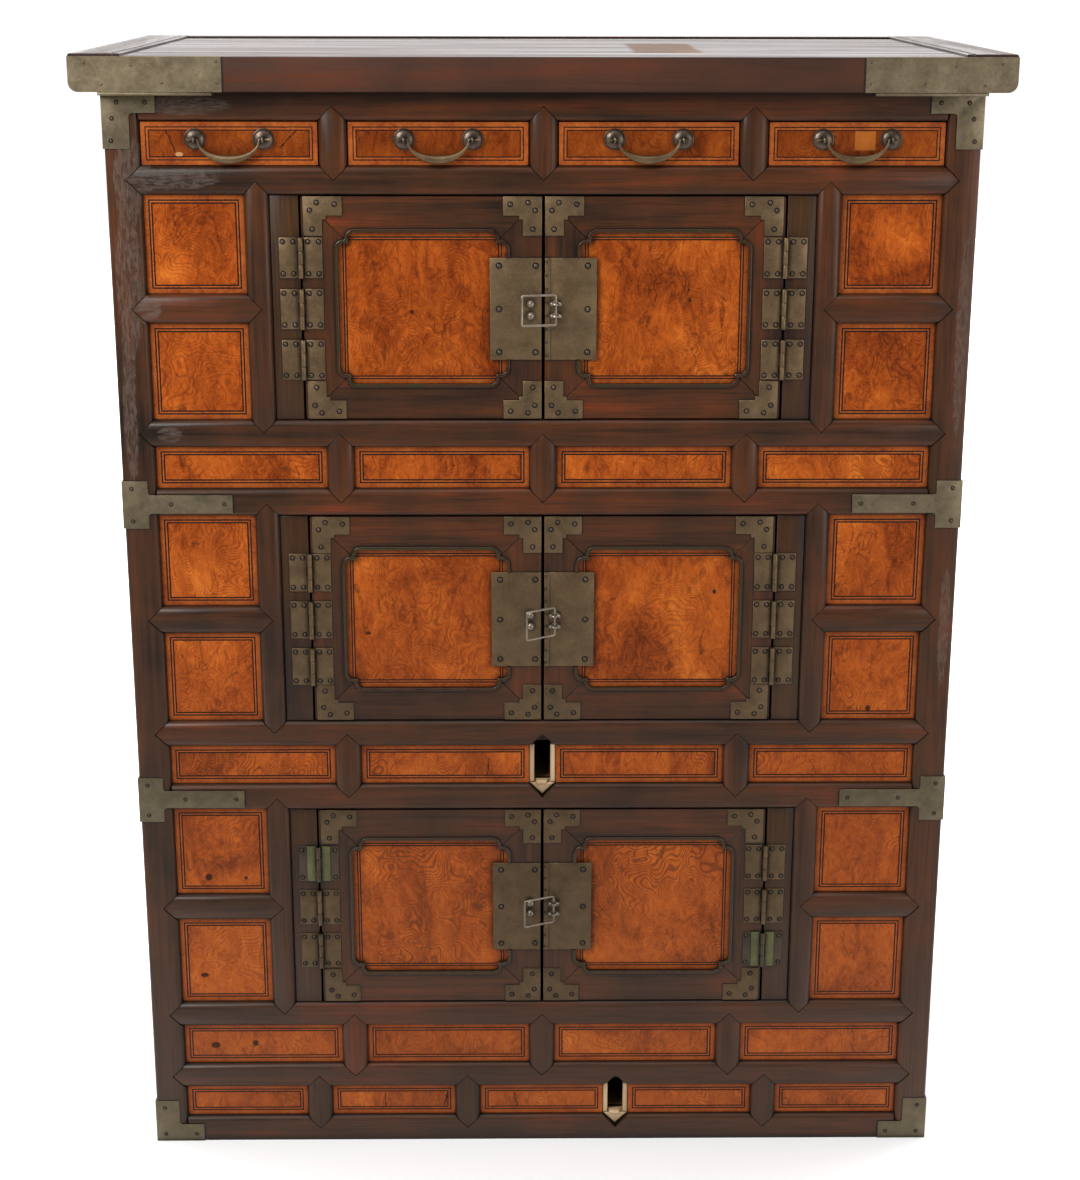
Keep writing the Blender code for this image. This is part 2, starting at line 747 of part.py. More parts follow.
# Drawers
def drawer_openings():
    """(low, high) along X of the four drawer openings."""
    half = DIVIDER / 2
    edges = [-INNER]
    for place in (-DIVIDER_STEP, 0.0, DIVIDER_STEP):
        edges += [place - half, place + half]
    edges.append(INNER)
    return list(zip(edges[0::2], edges[1::2]))


def pull_axis(z):
    """(y, z) of the bail axis for a drawer front spanning z, in face coordinates."""
    return DRAWER_SET - PULL_REACH, sum(z) / 2 + PULL_RISE


def make_bail(name, middle, axis_y, axis_z, hub):
    """Crescent bail whose hooked ends turn in two cotter eyes."""
    origin = (middle, axis_y + FACE_Y, axis_z)
    start = PULL_SPREAD - BAIL_END
    half = [(-PULL_SPREAD - BAIL_END, 0.0, BAIL_WIRE), (-start, 0.0, BAIL_WIRE)]
    steps = 6
    for k in range(1, steps + 1):
        turn = pi / 2 * k / steps
        half.append((-start * cos(turn), -BAIL_DROP * sin(turn), BAIL_WIRE + (BAIL_MIDDLE - BAIL_WIRE) * sin(turn) ** 3))
    whole = half + [(-px, pz, r) for px, pz, r in half[-2::-1]]
    points = [(px, 0.0, pz) for px, pz, _ in whole]
    mesh = wire(points, [r for _, _, r in whole])
    mesh.transform(Matrix.Translation(origin))
    finish(f"{name}_bail", mesh, OLD_BRASS, origin, hub)


def make_drawer(number, opening):
    """One drawer: burl front with its domed rosettes and eyes, open box and bail."""
    name = f"drawer_{number}"
    low, high = LEVEL["drawer_row"]
    x, z = inset(opening, DRAWER_CLEAR), (low + GAP, high - DRAWER_CLEAR)
    middle = sum(x) / 2
    origin = (middle, FACE_Y + DRAWER_SET, sum(z) / 2)
    hub = pivot(name, origin)
    axis_y, axis_z = pull_axis(z)
    pieces = [box(x, (DRAWER_SET, DRAWER_SET + DRAWER_FRONT), z)]
    for side in (-1, 1):
        place = middle + side * PULL_SPREAD
        pieces.append(ball((place, DRAWER_SET, axis_z), ROSETTE, ROSETTE_DOME / ROSETTE, 6, ROSETTE_SIDES))
        pieces.append(ring((place, axis_y, axis_z), "X", PULL_RING, PULL_RING_WIRE))
    part(f"{name}_front", pieces, BURL, (), origin, hub)
    inner = DRAWER_SET + DRAWER_FRONT + GAP
    shell = box(inset(x, GAP), (inner, inner + DRAWER_LONG), (z[0], z[1] - DRAWER_CLEAR))
    hollow = box(
        inset(x, GAP + DRAWER_WALL),
        (inner + DRAWER_WALL, inner + DRAWER_LONG - DRAWER_WALL),
        (z[0] + DRAWER_FLOOR, z[1] + DRAWER_FLOOR),
    )
    part(f"{name}_box", [shell], INNER_WOOD, [hollow], origin, hub)
    make_bail(name, middle, axis_y, axis_z, hub)


# Boards inside
def make_floors():
    """The drawer shelf with its partitions, and the floor of each tier."""
    reach = HALF - WALL_SET - WALL - GAP
    x = (-reach, reach)
    y = (POST_DEPTH + GAP, DEPTH - POST - GAP)
    low, high = LEVEL["drawer_row"]
    front = RAIL_DEPTH + GAP
    rear = DEPTH - BACK_SET - BACK - GAP
    between = (-INNER + GAP, INNER - GAP)
    shelf = box(x, y, (low - FLOOR, low))
    tongue = box(between, (front, rear), (low - FLOOR, low))
    partitions = [
        box((place - PARTITION / 2, place + PARTITION / 2), (front, rear), (low - FLOOR / 2, HEIGHT - GAP))
        for place in (-DIVIDER_STEP, 0.0, DIVIDER_STEP)
    ]
    part("drawer_shelf", [shelf, tongue, *partitions], INNER_WOOD)
    for name, member in (("upper_floor", "middle_head"), ("middle_floor", "lower_head"), ("bottom_board", "base_rail")):
        top = LEVEL[member][1]
        z = (top - FLOOR, top)
        part(name, [box(x, y, z), box(between, (front, rear), z)], INNER_WOOD)


# Top slab
def make_slab():
    """Top board between two end boards with a raised lip, and the brass straps round its front corners."""
    bottom, top = HEIGHT + GAP, HEIGHT + GAP + SLAB
    y = (-SLAB_FRONT, DEPTH + SLAB_REAR)
    out = HALF + SLAB_SIDE
    seam = out - END_BOARD
    part("top_board", [box((-seam + GAP, seam - GAP), y, (bottom, top))], DARK_WOOD)
    for name, sign in SIDES:
        tall = SLAB + END_LIP

        def lower_outer(m, sign=sign, tall=tall):
            return abs(m.y) < 1e-6 and m.z < -tall / 2 + 1e-6 and m.x * sign > 0

        end = box(span(sign * seam, sign * out), y, (bottom, bottom + tall), lower_outer, SLAB_ROUND, 3)
        part(f"{name}_end_board", [end], DARK_WOOD)
        make_strap(name, sign, out, bottom, top)


def make_strap(name, sign, out, bottom, top):
    """Brass strap that turns a front corner of the slab and laps under it."""
    skin = STRAP + GAP
    front = (-SLAB_FRONT - skin, -SLAB_FRONT - GAP)
    edge = out + skin
    reach = out - STRAP_LENGTH
    corner = [
        (edge - SLAB_ROUND * (1 - sin(pi / 6 * k)), bottom + SLAB_ROUND * (1 - cos(pi / 6 * k)))
        for k in range(4)
    ]
    outline = [(reach, bottom), *corner, (edge, top), (reach, top)]
    face = plate([[(sign * px, pz) for px, pz in outline]], front)
    side_x = span(sign * (out + GAP), sign * edge)
    side = box(side_x, (front[0] + STRAP / 2, -SLAB_FRONT + STRAP_RETURN), (bottom + SLAB_ROUND, top))
    lip_z = (bottom - skin, bottom - GAP)
    lip_x = span(sign * reach, sign * (out - SLAB_ROUND))
    lip = box(lip_x, (front[0] + STRAP / 2, -SLAB_FRONT + STRAP_LIP), lip_z)
    fold = box(lip_x, front, (lip_z[0], bottom + STRAP))
    part(f"{name}_corner_strap", [face, side, lip, fold], OLD_BRASS)


def main():
    """Build every part of the chest."""
    make_posts()
    make_side_walls()
    make_back()
    make_belts()
    for tier in TIERS:
        for name, sign in SIDES:
            make_bay(tier, name, sign)
            hub = make_door(tier, name, sign)
            if sign > 0:
                make_hasp(tier, hub)
    for number, opening in enumerate(drawer_openings(), 1):
        make_drawer(number, opening)
    make_floors()
    make_slab()


main()
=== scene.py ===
"""Looks of a three-tier burl chest: dark convex frame, burl fields, brass and drawers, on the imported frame."""

import logging
from contextlib import contextmanager
from dataclasses import dataclass
from enum import Enum
from math import cos, pi, radians, sin
from typing import Any, Callable, Iterator, Sequence

import bmesh
import bpy
from mathutils import Euler, Matrix, Vector


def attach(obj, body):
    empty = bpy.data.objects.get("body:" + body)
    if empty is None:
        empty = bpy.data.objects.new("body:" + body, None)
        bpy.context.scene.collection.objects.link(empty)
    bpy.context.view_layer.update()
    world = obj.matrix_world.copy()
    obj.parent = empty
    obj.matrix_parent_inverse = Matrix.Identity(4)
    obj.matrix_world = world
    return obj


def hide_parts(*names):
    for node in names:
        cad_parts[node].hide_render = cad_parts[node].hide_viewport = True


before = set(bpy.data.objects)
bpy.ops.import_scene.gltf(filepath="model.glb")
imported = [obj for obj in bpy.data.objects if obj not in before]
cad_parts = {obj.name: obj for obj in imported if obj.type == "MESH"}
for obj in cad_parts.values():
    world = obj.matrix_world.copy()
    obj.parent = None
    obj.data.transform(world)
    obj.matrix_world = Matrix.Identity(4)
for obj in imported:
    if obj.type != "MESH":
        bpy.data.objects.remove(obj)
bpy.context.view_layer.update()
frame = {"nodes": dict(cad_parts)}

LOG = logging.getLogger("chest")
Span = tuple[float, float]
Colour = tuple[float, float, float]
Places = Sequence[tuple[float, float]]
Test = Callable[[Any], bool]
Material = bpy.types.Material

# Lengths are in metres.
FACE_Y = -0.24275  # front of the posts
HALF = 0.499  # outer edge of a post
INNER = 0.459  # inner edge of a post
STILE_OUT = 0.344
STILE_IN = 0.314
JAMB_IN = 0.280  # axis of the hinges
RAIL = 0.0335
DIVIDER = 0.033
DIVIDER_STEP = 0.240
FOOT_STEP = 0.1915
ROUNDING = 0.0075  # of the convex frame members
DOOR_SET = 0.005  # how far the doors stand behind the posts
DOOR_CLEAR = 0.0012
PLATE = 0.0012  # thickness of brass plate
STRAP_END = 0.359  # inner end of the slab's corner straps
GAP = 0.0003  # between pieces that only touch
SNUG = 0.0002  # round a field in its frame
FINE = 0.0004  # rounding of thin plate
PAST = 0.01  # how far a cutter reaches beyond its work
NEAR = 1e-5  # two coordinates closer than this are one

# Angles in degrees, over which an edge stays sharp.
WOOD_EDGE = 25
METAL_EDGE = 40
ROUND_EDGE = 60

CARCASS = "carcass"
WOOD, BRASS, BURL, PALE = "dark_wood", "old_brass", "burl_veneer", "pale_wood"
TIERS = ("upper", "middle", "lower")
SIDES = (("left", -1), ("right", 1))
THIRDS = (-DIVIDER_STEP, 0.0, DIVIDER_STEP)
FEET = tuple(FOOT_STEP * k for k in (-1.5, -0.5, 0.5, 1.5))
ROWS = {"drawer_row": THIRDS, "upper_row": THIRDS, "middle_row": THIRDS, "lower_row": THIRDS, "foot_row": FEET}
LOST = {"middle_row": 0.0, "foot_row": FOOT_STEP * 0.5}  # dividers that have fallen out
PLATED = ("top_rail", "base_rail", "middle_head", "lower_head")  # rails with brass over their ends
# The solid that a rail or row belongs to; the others belong to the base belt.
BELTS = {
    "top_rail": "drawer_rails", "upper_head": "drawer_rails",
    "upper_sill": "upper_belt", "upper_row": "upper_belt", "middle_head": "upper_belt",
    "middle_sill": "middle_belt", "middle_row": "middle_belt", "lower_head": "middle_belt",
}
STACK = (
    ("base_rail", RAIL), ("foot_row", 0.042), ("foot_rail", RAIL), ("lower_row", 0.054),
    ("lower_sill", RAIL), ("lower_doors", 0.265), ("lower_head", RAIL), ("middle_row", 0.050),
    ("middle_sill", RAIL), ("middle_doors", 0.260), ("middle_head", RAIL), ("upper_row", 0.050),
    ("upper_sill", RAIL), ("upper_doors", 0.262), ("upper_head", RAIL), ("drawer_row", 0.0495),
    ("top_rail", RAIL),
)


def stack_levels() -> dict[str, Span]:
    """Pile the rails and rows from the floor up.

    Returns:
        The (bottom, top) heights of each member.
    """
    levels, height = {}, 0.0
    for member, tall in STACK:
        levels[member] = (height, height + tall)
        height += tall
    return levels


LEVEL = stack_levels()
HEIGHT = LEVEL["top_rail"][1]


def span(a: float, b: float) -> Span:
    """The pair in rising order."""
    return (min(a, b), max(a, b))


def inset(pair: Span, by: float) -> Span:
    """The pair drawn in at both ends."""
    return (pair[0] + by, pair[1] - by)


def middle(pair: Span) -> float:
    """The middle of a pair."""
    return (pair[0] + pair[1]) / 2


def about(centre: float, size: float) -> Span:
    """The pair that lies evenly about a centre."""
    return (centre - size / 2, centre + size / 2)


def deep(front: float, back: float) -> Span:
    """World y of two depths behind the chest's face."""
    return (FACE_Y + front, FACE_Y + back)


def bays(dividers: Sequence[float]) -> list[Span]:
    """What a row's dividers leave between the posts."""
    edges = [-INNER, *[edge for x in dividers for edge in about(x, DIVIDER)], INNER]
    return list(zip(edges[0::2], edges[1::2]))


class Pick(Enum):
    """What a test picks on a mesh."""

    VERT = "verts"
    EDGE = "edges"
    FACE = "faces"


class Along(Enum):
    """The axis that a member or its grain runs along."""

    X = 0
    Y = 1
    Z = 2

    def stretch(self, run: float, across: float) -> list[float]:
        """Texture scales for grain that runs this way."""
        return [run if axis is self else across for axis in Along]

    def vector(self, length: float) -> list[float]:
        """A vector of this length along the axis."""
        return self.stretch(length, 0.0)


class Mark(Enum):
    """What time has left on a veneer, and its colour."""

    CRACK = (0.018, 0.007, 0.004)
    KNOT = (0.022, 0.009, 0.004)
    CHIP = (0.420, 0.210, 0.095)
    PATCH = (0.520, 0.165, 0.024)


# A mark at x, z with its half sizes; a crack has its other end instead.
Flaw = tuple[Mark, float, float, float, float]


def maths(kind: str, swapped: bool = False) -> Callable[..., "Socket"]:
    """Make an operator for Socket.

    Args:
        kind: Blender's name for the operation.
        swapped: Whether the other value comes first.

    Returns:
        A method that adds one Math node.
    """
    def method(value: "Socket", other: Any = 0.0) -> "Socket":
        """Feed both values to a node."""
        first, second = (other, value) if swapped else (value, other)
        return value.shade.node("ShaderNodeMath", {"operation": kind}, {0: first, 1: second})
    return method


@dataclass
class Socket:
    """A shader output that takes part in Python arithmetic."""

    shade: "Shade"
    output: bpy.types.NodeSocket

    __add__ = __radd__ = maths("ADD")
    __sub__ = maths("SUBTRACT")
    __rsub__ = maths("SUBTRACT", True)
    __mul__ = __rmul__ = maths("MULTIPLY")
    __gt__ = maths("GREATER_THAN")
    upto = maths("MINIMUM")
    size = maths("ABSOLUTE")
    wave = maths("SINE")

    def ease(self, low: float, high: float) -> "Socket":
        """Smooth step from 0 at low to 1 at high."""
        settings = {"interpolation_type": "SMOOTHSTEP"}
        return self.shade.node("ShaderNodeMapRange", settings, {0: self, 1: low, 2: high})


class Shade:
    """A material under way: its tree, its shader and the colour laid so far."""

    def __init__(self, name: str) -> None:
        """Start a material with one Principled shader.

        Args:
            name: Name of the material.
        """
        self.material = bpy.data.materials.new(name)
        self.material.use_nodes = True
        self.tree = self.material.node_tree
        self.tree.nodes.clear()
        self.shader = self.tree.nodes.new("ShaderNodeBsdfPrincipled")
        output = self.tree.nodes.new("ShaderNodeOutputMaterial")
        self.tree.links.new(self.shader.outputs[0], output.inputs[0])
        self.tone: Any = None

    def feed(self, socket: bpy.types.NodeSocket, value: Any) -> None:
        """Link or set one input.

        Args:
            socket: The input.
            value: A Socket or a plain value.
        """
        if isinstance(value, Socket):
            self.tree.links.new(value.output, socket)
        else:
            socket.default_value = value

    def node(self, kind: str, settings: dict | None = None, inputs: dict | None = None, out: Any = 0) -> Socket:
        """Add a node.

        Args:
            kind: Blender's name for the node.
            settings: Values set on the node first.
            inputs: Values or links by input name or number.
            out: Output name or number.

        Returns:
            The output as a Socket.
        """
        made = self.tree.nodes.new(kind)
        for key, value in (settings or {}).items():
            setattr(made, key, value)
        for key, value in (inputs or {}).items():
            self.feed(made.inputs[key], value)
        return Socket(self, made.outputs[out])

    def place(self, scale: Sequence[float] = (1, 1, 1), shift: Sequence[float] = (0, 0, 0)) -> Socket:
        """Object coordinates, stretched and shifted."""
        where = self.node("ShaderNodeTexCoord", out="Object")
        return self.node("ShaderNodeMapping", None, {"Vector": where, "Scale": scale, "Location": shift})

    def axis(self, along: Along) -> Socket:
        """One coordinate of the point, in metres."""
        where = self.node("ShaderNodeTexCoord", out="Object")
        return self.node("ShaderNodeSeparateXYZ", None, {0: where}, along.value)

    def low(self, floor: float, height: float) -> Socket:
        """A share that fades from 1 at the floor to 0 at a height, used to paint shade low down."""
        return 1 - self.axis(Along.Z).ease(floor, height)

    def noise(
        self, where: Socket, scale: float, detail: float = 4.0, rough: float = 0.55, bend: float = 0.0
    ) -> Socket:
        """Noise from 0 to 1 at a place."""
        values = {"Vector": where, "Scale": scale, "Detail": detail, "Roughness": rough, "Distortion": bend}
        return self.node("ShaderNodeTexNoise", None, values)

    def grain(self, along: Along, run: float, across: float, *quality: float) -> Socket:
        """Noise drawn out along an axis, with the detail, roughness and bend of noise."""
        return self.noise(self.place(along.stretch(run, across)), 1.0, *quality)

    def warp(self, where: Socket, scale: float, by: float) -> Socket:
        """A place pushed about by coloured noise.

        Args:
            where: The place.
            scale: Scale of the noise.
            by: How far it pushes.

        Returns:
            The new place.
        """
        values = {"Vector": where, "Scale": scale, "Detail": 2.0}
        push = self.node("ShaderNodeTexNoise", None, values, "Color")
        push = self.node("ShaderNodeVectorMath", {"operation": "SUBTRACT"}, {0: push, 1: (0.5, 0.5, 0.5)})
        push = self.node("ShaderNodeVectorMath", {"operation": "SCALE"}, {0: push, "Scale": by})
        return self.node("ShaderNodeVectorMath", {"operation": "ADD"}, {0: where, 1: push})

    def ramp(self, value: Socket, *stops: tuple[float, Colour]) -> Socket:
        """Colour by value.

        Args:
            value: What the colour follows.
            *stops: Places and colours: the first, the last and then those between.

        Returns:
            The colour.
        """
        made = self.node("ShaderNodeValToRGB", None, {0: value})
        elements = made.output.node.color_ramp.elements
        for at, _ in stops[2:]:
            elements.new(at)
        for stop, (at, colour) in zip(sorted(elements, key=lambda s: s.position), sorted(stops)):
            stop.position, stop.color = at, (*colour, 1.0)
        return made

    def coat(self, share: Any, colour: Any) -> None:
        """Lay a colour, plain or a Socket, over the tone by its share."""
        over = (*colour, 1.0) if isinstance(colour, tuple) else colour
        self.tone = self.node("ShaderNodeMix", {"data_type": "RGBA"}, {0: share, 6: self.tone, 7: over}, 2)

    def exposed(self, reach: float) -> Socket:
        """How open a point lies: 1 in the open, falling in corners and along joints, where it is used to paint
        shade.
        """
        return self.node("ShaderNodeAmbientOcclusion", {"samples": 3}, {"Distance": reach}, "AO")

    def spot(self, x: float, z: float, wide: float, tall: float) -> Socket:
        """A soft oval on the front, 1 at its middle."""
        across, up = (self.axis(Along.X) - x) * (1 / wide), (self.axis(Along.Z) - z) * (1 / tall)
        return 1 - (across * across + up * up).upto(1.0)

    def slash(self, start: Span, end: Span, wide: float) -> Socket:
        """A wandering hairline on the front.

        Args:
            start: One end, as x and z.
            end: The other end.
            wide: Width of the line.

        Returns:
            A share that is 1 along its middle.
        """
        run = Vector(end) - Vector(start)
        way, half = run.normalized(), run.length / 2
        wander = (self.noise(self.place(), 190.0, 3.0, 0.6) - 0.5) * 0.007
        across, up = self.axis(Along.X) - start[0], self.axis(Along.Z) - start[1]
        along = across * way[0] + up * way[1]
        off = (across * way[1] - up * way[0] + wander).size()
        return (1 - off.ease(wide * 0.4, wide)) * ((along - half).size() * -1 > -half)

    def done(
        self, rough: Any, metal: float = 0.0, height: Any = None, lift: float = 0.0, **fixed: float
    ) -> Material:
        """Feed the shader with the tone and the rest.

        Args:
            rough: Roughness.
            metal: Metallic.
            height: Bump height, from about 0 to 1.
            lift: Bump distance in metres.
            **fixed: Numbers for the shader's own sockets, with _ for a space.

        Returns:
            The finished material.
        """
        values = {"Base Color": self.tone, "Roughness": rough, "Metallic": metal}
        values |= {name.replace("_", " "): value for name, value in fixed.items()}
        if height is not None:
            bump = {"Height": height, "Distance": lift, "Strength": 0.6}
            values["Normal"] = self.node("ShaderNodeBump", None, bump)
        for name, value in values.items():
            self.feed(self.shader.inputs[name], value)
        return self.material


@dataclass(frozen=True)
class DarkWood:
    """Red-brown lacquered frame wood with dark joints, rubbed grey places and painted shade in corners and towards
    the floor.
    """

    along: Along
    red: float
    gloss: float = 0.24
    dirt_and_shade: float = 0.9
    rough: float = 0.27
    label: str = "dark_wood"
    patchy: float = 2.0
    relief: float = 0.0004
    scuffs: tuple[tuple[float, float, float, float], ...] = ()
    low_shade: Colour = (0.0400, 0.0240, 0.0150)
    pore: Colour = (0.0100, 0.0060, 0.0045)
    soot_and_shade: Colour = (0.0045, 0.0036, 0.0032)
    bared: Colour = (0.122, 0.092, 0.074)

    def rub(self, shade: Shade) -> Socket:
        """The share of lacquer that use has broken on the front.

        Args:
            shade: The material under way.

        Returns:
            The share.
        """
        broken = shade.grain(self.along, 70.0, 330.0, 8.0, 0.80, 0.5)
        worn = sum(shade.spot(*scuff).ease(0.0, 0.7) for scuff in self.scuffs)
        fore = 1 - shade.axis(Along.Y).ease(FACE_Y + 0.002, FACE_Y + 0.020)
        return (worn.upto(1.0) * 0.44 + broken * 0.9).ease(0.80, 0.98) * fore

    def make(self) -> Material:
        """Build the finish.

        Returns:
            The material.
        """
        shade = Shade(f"{self.label}_{self.along.name.lower()}")
        grain = shade.grain(self.along, 2.4, 42.0, 6.0, 0.62, 0.5)
        streak = shade.grain(self.along, 3.2, 170.0, 4.0, 0.6, 0.3)
        pores = shade.grain(self.along, 14.0, 460.0, 3.0, 0.6)
        cloud = shade.noise(shade.place(), 7.0, 4.0, 0.6)
        shade.tone = shade.ramp(
            grain * 0.46 + streak * 0.14 + cloud * 0.40,
            (0.375, (0.0130, 0.0060, 0.0032)),
            (0.670, (0.190 * self.red, 0.0300, 0.0060)),
            (0.466, (0.0450, 0.0170, 0.0064)),
            (0.562, (0.0860 * self.red, 0.0235, 0.0066)),
        )
        # Painted shade: darker towards the floor.
        shade.coat(shade.low(0.0, 1.0) * 0.50, self.low_shade)
        shade.coat((1 - pores).ease(0.46, 0.75) * 0.5, self.pore)
        # Grime and painted shade: darker in corners, recesses and along joints, broken up by noise.
        dust = shade.noise(shade.place(), 85.0, 4.0, 0.65)
        near = (1 - (1 - shade.exposed(0.0090)) * ((dust - 0.5) * self.patchy + 1.25)).ease(0.56, 0.98)
        far = shade.exposed(0.016).ease(0.15, 0.9)
        shade.coat((1 - near * far) * self.dirt_and_shade, self.soot_and_shade)
        rough = pores * 0.16 + self.rough
        if self.scuffs:
            rubbed = self.rub(shade)
            shade.coat(rubbed * 0.52, self.bared)
            rough = rough + rubbed * 0.3
        height = grain * 0.4 + pores * 0.6
        return shade.done(rough, height=height, lift=self.relief, Specular_IOR_Level=self.gloss)


@dataclass(frozen=True)
class Burl:
    """Orange burl veneer: fibrous clouds, contour lines, small dark knots and its own flaws."""

    name: str
    contour: float
    light: float
    flaws: tuple[Flaw, ...]
    hairline: float = 0.0011
    vein: Colour = (0.050, 0.0095, 0.0025)
    line: Colour = (0.060, 0.0115, 0.0030)
    eye: Colour = (0.026, 0.0080, 0.0030)
    low_shade: Colour = (0.185, 0.0620, 0.0230)
    soot_and_shade: Colour = (0.022, 0.0070, 0.0030)

    def age(self, shade: Shade) -> None:
        """Lay the cracks, patches, knots and chips over the figure.

        Args:
            shade: The material under way.
        """
        for mark, x, z, u, v in self.flaws:
            if mark is Mark.CRACK:
                share = shade.slash((x, z), (u, v), self.hairline) * 0.9
            elif mark is Mark.PATCH:
                off = ((shade.axis(Along.X) - x).size() > u) + ((shade.axis(Along.Z) - z).size() > v)
                share = (1 - off.upto(1.0)) * 0.55
            elif mark is Mark.KNOT:
                share = shade.spot(x, z, u, v).ease(0.05, 0.7) * 0.92
            else:
                share = shade.spot(x, z, u, v).ease(0.1, 0.3)
            shade.coat(share, mark.value)

    def make(self) -> Material:
        """Build the finish.

        Returns:
            The material.
        """
        shade = Shade(self.name)
        where = shade.warp(shade.place((1, 1, 0.62)), 10.0, 0.07)
        cloud = shade.noise(where, 11.0, 5.0, 0.58, 0.9)
        fibre = shade.noise(shade.warp(shade.place((1, 1, 0.55)), 20.0, 0.05), 105.0, 8.0, 0.72, 1.1)
        fleck = shade.noise(shade.place(), 520.0, 3.0, 0.7)
        stops = (
            (0.37, (0.092, 0.0135, 0.0023)), (0.65, (0.630, 0.1680, 0.0205)),
            (0.455, (0.250, 0.0450, 0.0052)), (0.55, (0.420, 0.0880, 0.0099)),
        )
        lit = [(at, tuple(v * self.light for v in colour)) for at, colour in stops]
        shade.tone = shade.ramp(cloud * 0.45 + fibre * 0.39 + fleck * 0.16, *lit)
        vein = shade.warp(shade.place((1, 1, 0.40), (7.7, 1.1, 0.3)), 12.0, 0.06)
        vein = (shade.noise(vein, 17.0, 5.0) - 0.5).size().ease(0.0, 0.011)
        shade.coat((1 - vein) * shade.noise(where, 30.0, 2.0).ease(0.40, 0.58) * 0.62, self.vein)
        height = shade.noise(shade.warp(shade.place(shift=(3.1, 0.7, 1.9)), 9.0, 0.05), 11.0, 2.0, 0.42)
        lines = (height * 400.0 + fibre * 2.4).wave() * 0.5 + 0.5
        shown = shade.noise(shade.place(shift=(0.4, 2.2, 5.3)), 8.0, 2.0).ease(0.36, 0.58)
        shade.coat(lines.ease(0.52, 0.95) * shown * self.contour, self.line)
        eyes = 1 - shade.node("ShaderNodeTexVoronoi", None, {"Vector": where, "Scale": 24.0}).ease(0.04, 0.17)
        shade.coat(eyes * shade.noise(shade.place(), 15.0, 1.0).ease(0.53, 0.62) * 0.75, self.eye)
        # Painted shade: darker towards the floor.
        shade.coat(shade.low(0.0, 1.05) * 0.36, self.low_shade)
        self.age(shade)
        # Grime and painted shade: darker in corners, recesses and along joints.
        near, far = shade.exposed(0.007).ease(0.46, 0.98), shade.exposed(0.018).ease(0.2, 0.96)
        shade.coat((1 - near * far) * 0.8, self.soot_and_shade)
        height = fibre * 0.7 + fleck * 0.3
        return shade.done(fleck * 0.18 + 0.26, height=height, lift=0.0003, Specular_IOR_Level=0.10)


@dataclass(frozen=True)
class Veneer:
    """A narrow straight veneer: the orange crossband or the black stringing."""

    name: str
    light: Colour
    dark: Colour
    soot_and_shade: Colour = (0.020, 0.007, 0.004)

    def make(self) -> Material:
        """Build the finish.

        Returns:
            The material.
        """
        shade = Shade(self.name)
        grain = shade.noise(shade.place(), 260.0, 4.0, 0.6, 0.5)
        cloud = shade.noise(shade.place(), 30.0, 3.0)
        shade.tone = shade.ramp(grain * 0.5 + cloud * 0.5, (0.35, self.dark), (0.65, self.light))
        # Painted shade: darker towards the floor, and darker in corners and along joints.
        shade.coat(shade.low(0.05, 1.15) * 0.30, self.dark)
        shade.coat((1 - shade.exposed(0.009).ease(0.15, 0.9)) * 0.7, self.soot_and_shade)
        return shade.done(grain * 0.2 + 0.30, height=grain, lift=0.0003, Specular_IOR_Level=0.16)


@dataclass(frozen=True)
class PlainWood:
    """Unfinished wood: boxes and boards inside, or a freshly broken surface."""

    name: str
    light: Colour
    dark: Colour
    along: Along
    soot_and_shade: Colour = (0.030, 0.018, 0.010)

    def make(self) -> Material:
        """Build the finish.

        Returns:
            The material.
        """
        shade = Shade(self.name)
        grain = shade.grain(self.along, 3.0, 75.0, 6.0, 0.62, 0.6)
        cloud = shade.noise(shade.place(), 6.0, 3.0)
        shade.tone = shade.ramp(grain * 0.65 + cloud * 0.35, (0.32, self.dark), (0.68, self.light))
        # Grime and painted shade: darker in corners and recesses.
        shade.coat((1 - shade.exposed(0.02).ease(0.0, 0.9)) * 0.6, self.soot_and_shade)
        return shade.done(grain * 0.15 + 0.62, height=grain, lift=0.0006)


@dataclass(frozen=True)
class Brass:
    """Old plate: olive patina over brass, stained along its edges, with painted shade towards the floor and in its
    hollows.
    """

    name: str
    light: Colour
    dark: Colour
    rough: float
    dirt_and_shade: float = 0.85
    beaten: float = 0.0014
    soot_and_shade: Colour = (0.012, 0.009, 0.006)

    def make(self) -> Material:
        """Build the finish.

        Returns:
            The material.
        """
        shade = Shade(self.name)
        cloud = shade.noise(shade.warp(shade.place(), 20.0, 0.03), 38.0, 5.0, 0.62)
        speck = shade.noise(shade.place(), 330.0, 4.0, 0.65)
        dents = shade.noise(shade.place(), 46.0, 2.0, 0.4)
        shade.tone = shade.ramp(cloud * 0.65 + speck * 0.35, (0.34, self.dark), (0.66, self.light))
        stain = shade.noise(shade.place(shift=(1.3, 0.2, 4.1)), 55.0, 5.0, 0.7).ease(0.52, 0.72)
        shade.coat(stain * 0.45, self.dark)
        # Painted shade: darker towards the floor; then grime and painted shade in hollows and round nails.
        shade.coat(shade.low(0.1, 1.2) * 0.58, tuple(v * 0.5 for v in self.dark))
        shade.coat((1 - shade.exposed(0.006).ease(0.52, 0.99)) * self.dirt_and_shade, self.soot_and_shade)
        rough = speck * 0.16 + stain * 0.10 + self.rough
        return shade.done(rough, 0.75, dents * 0.93 + speck * 0.07, self.beaten)


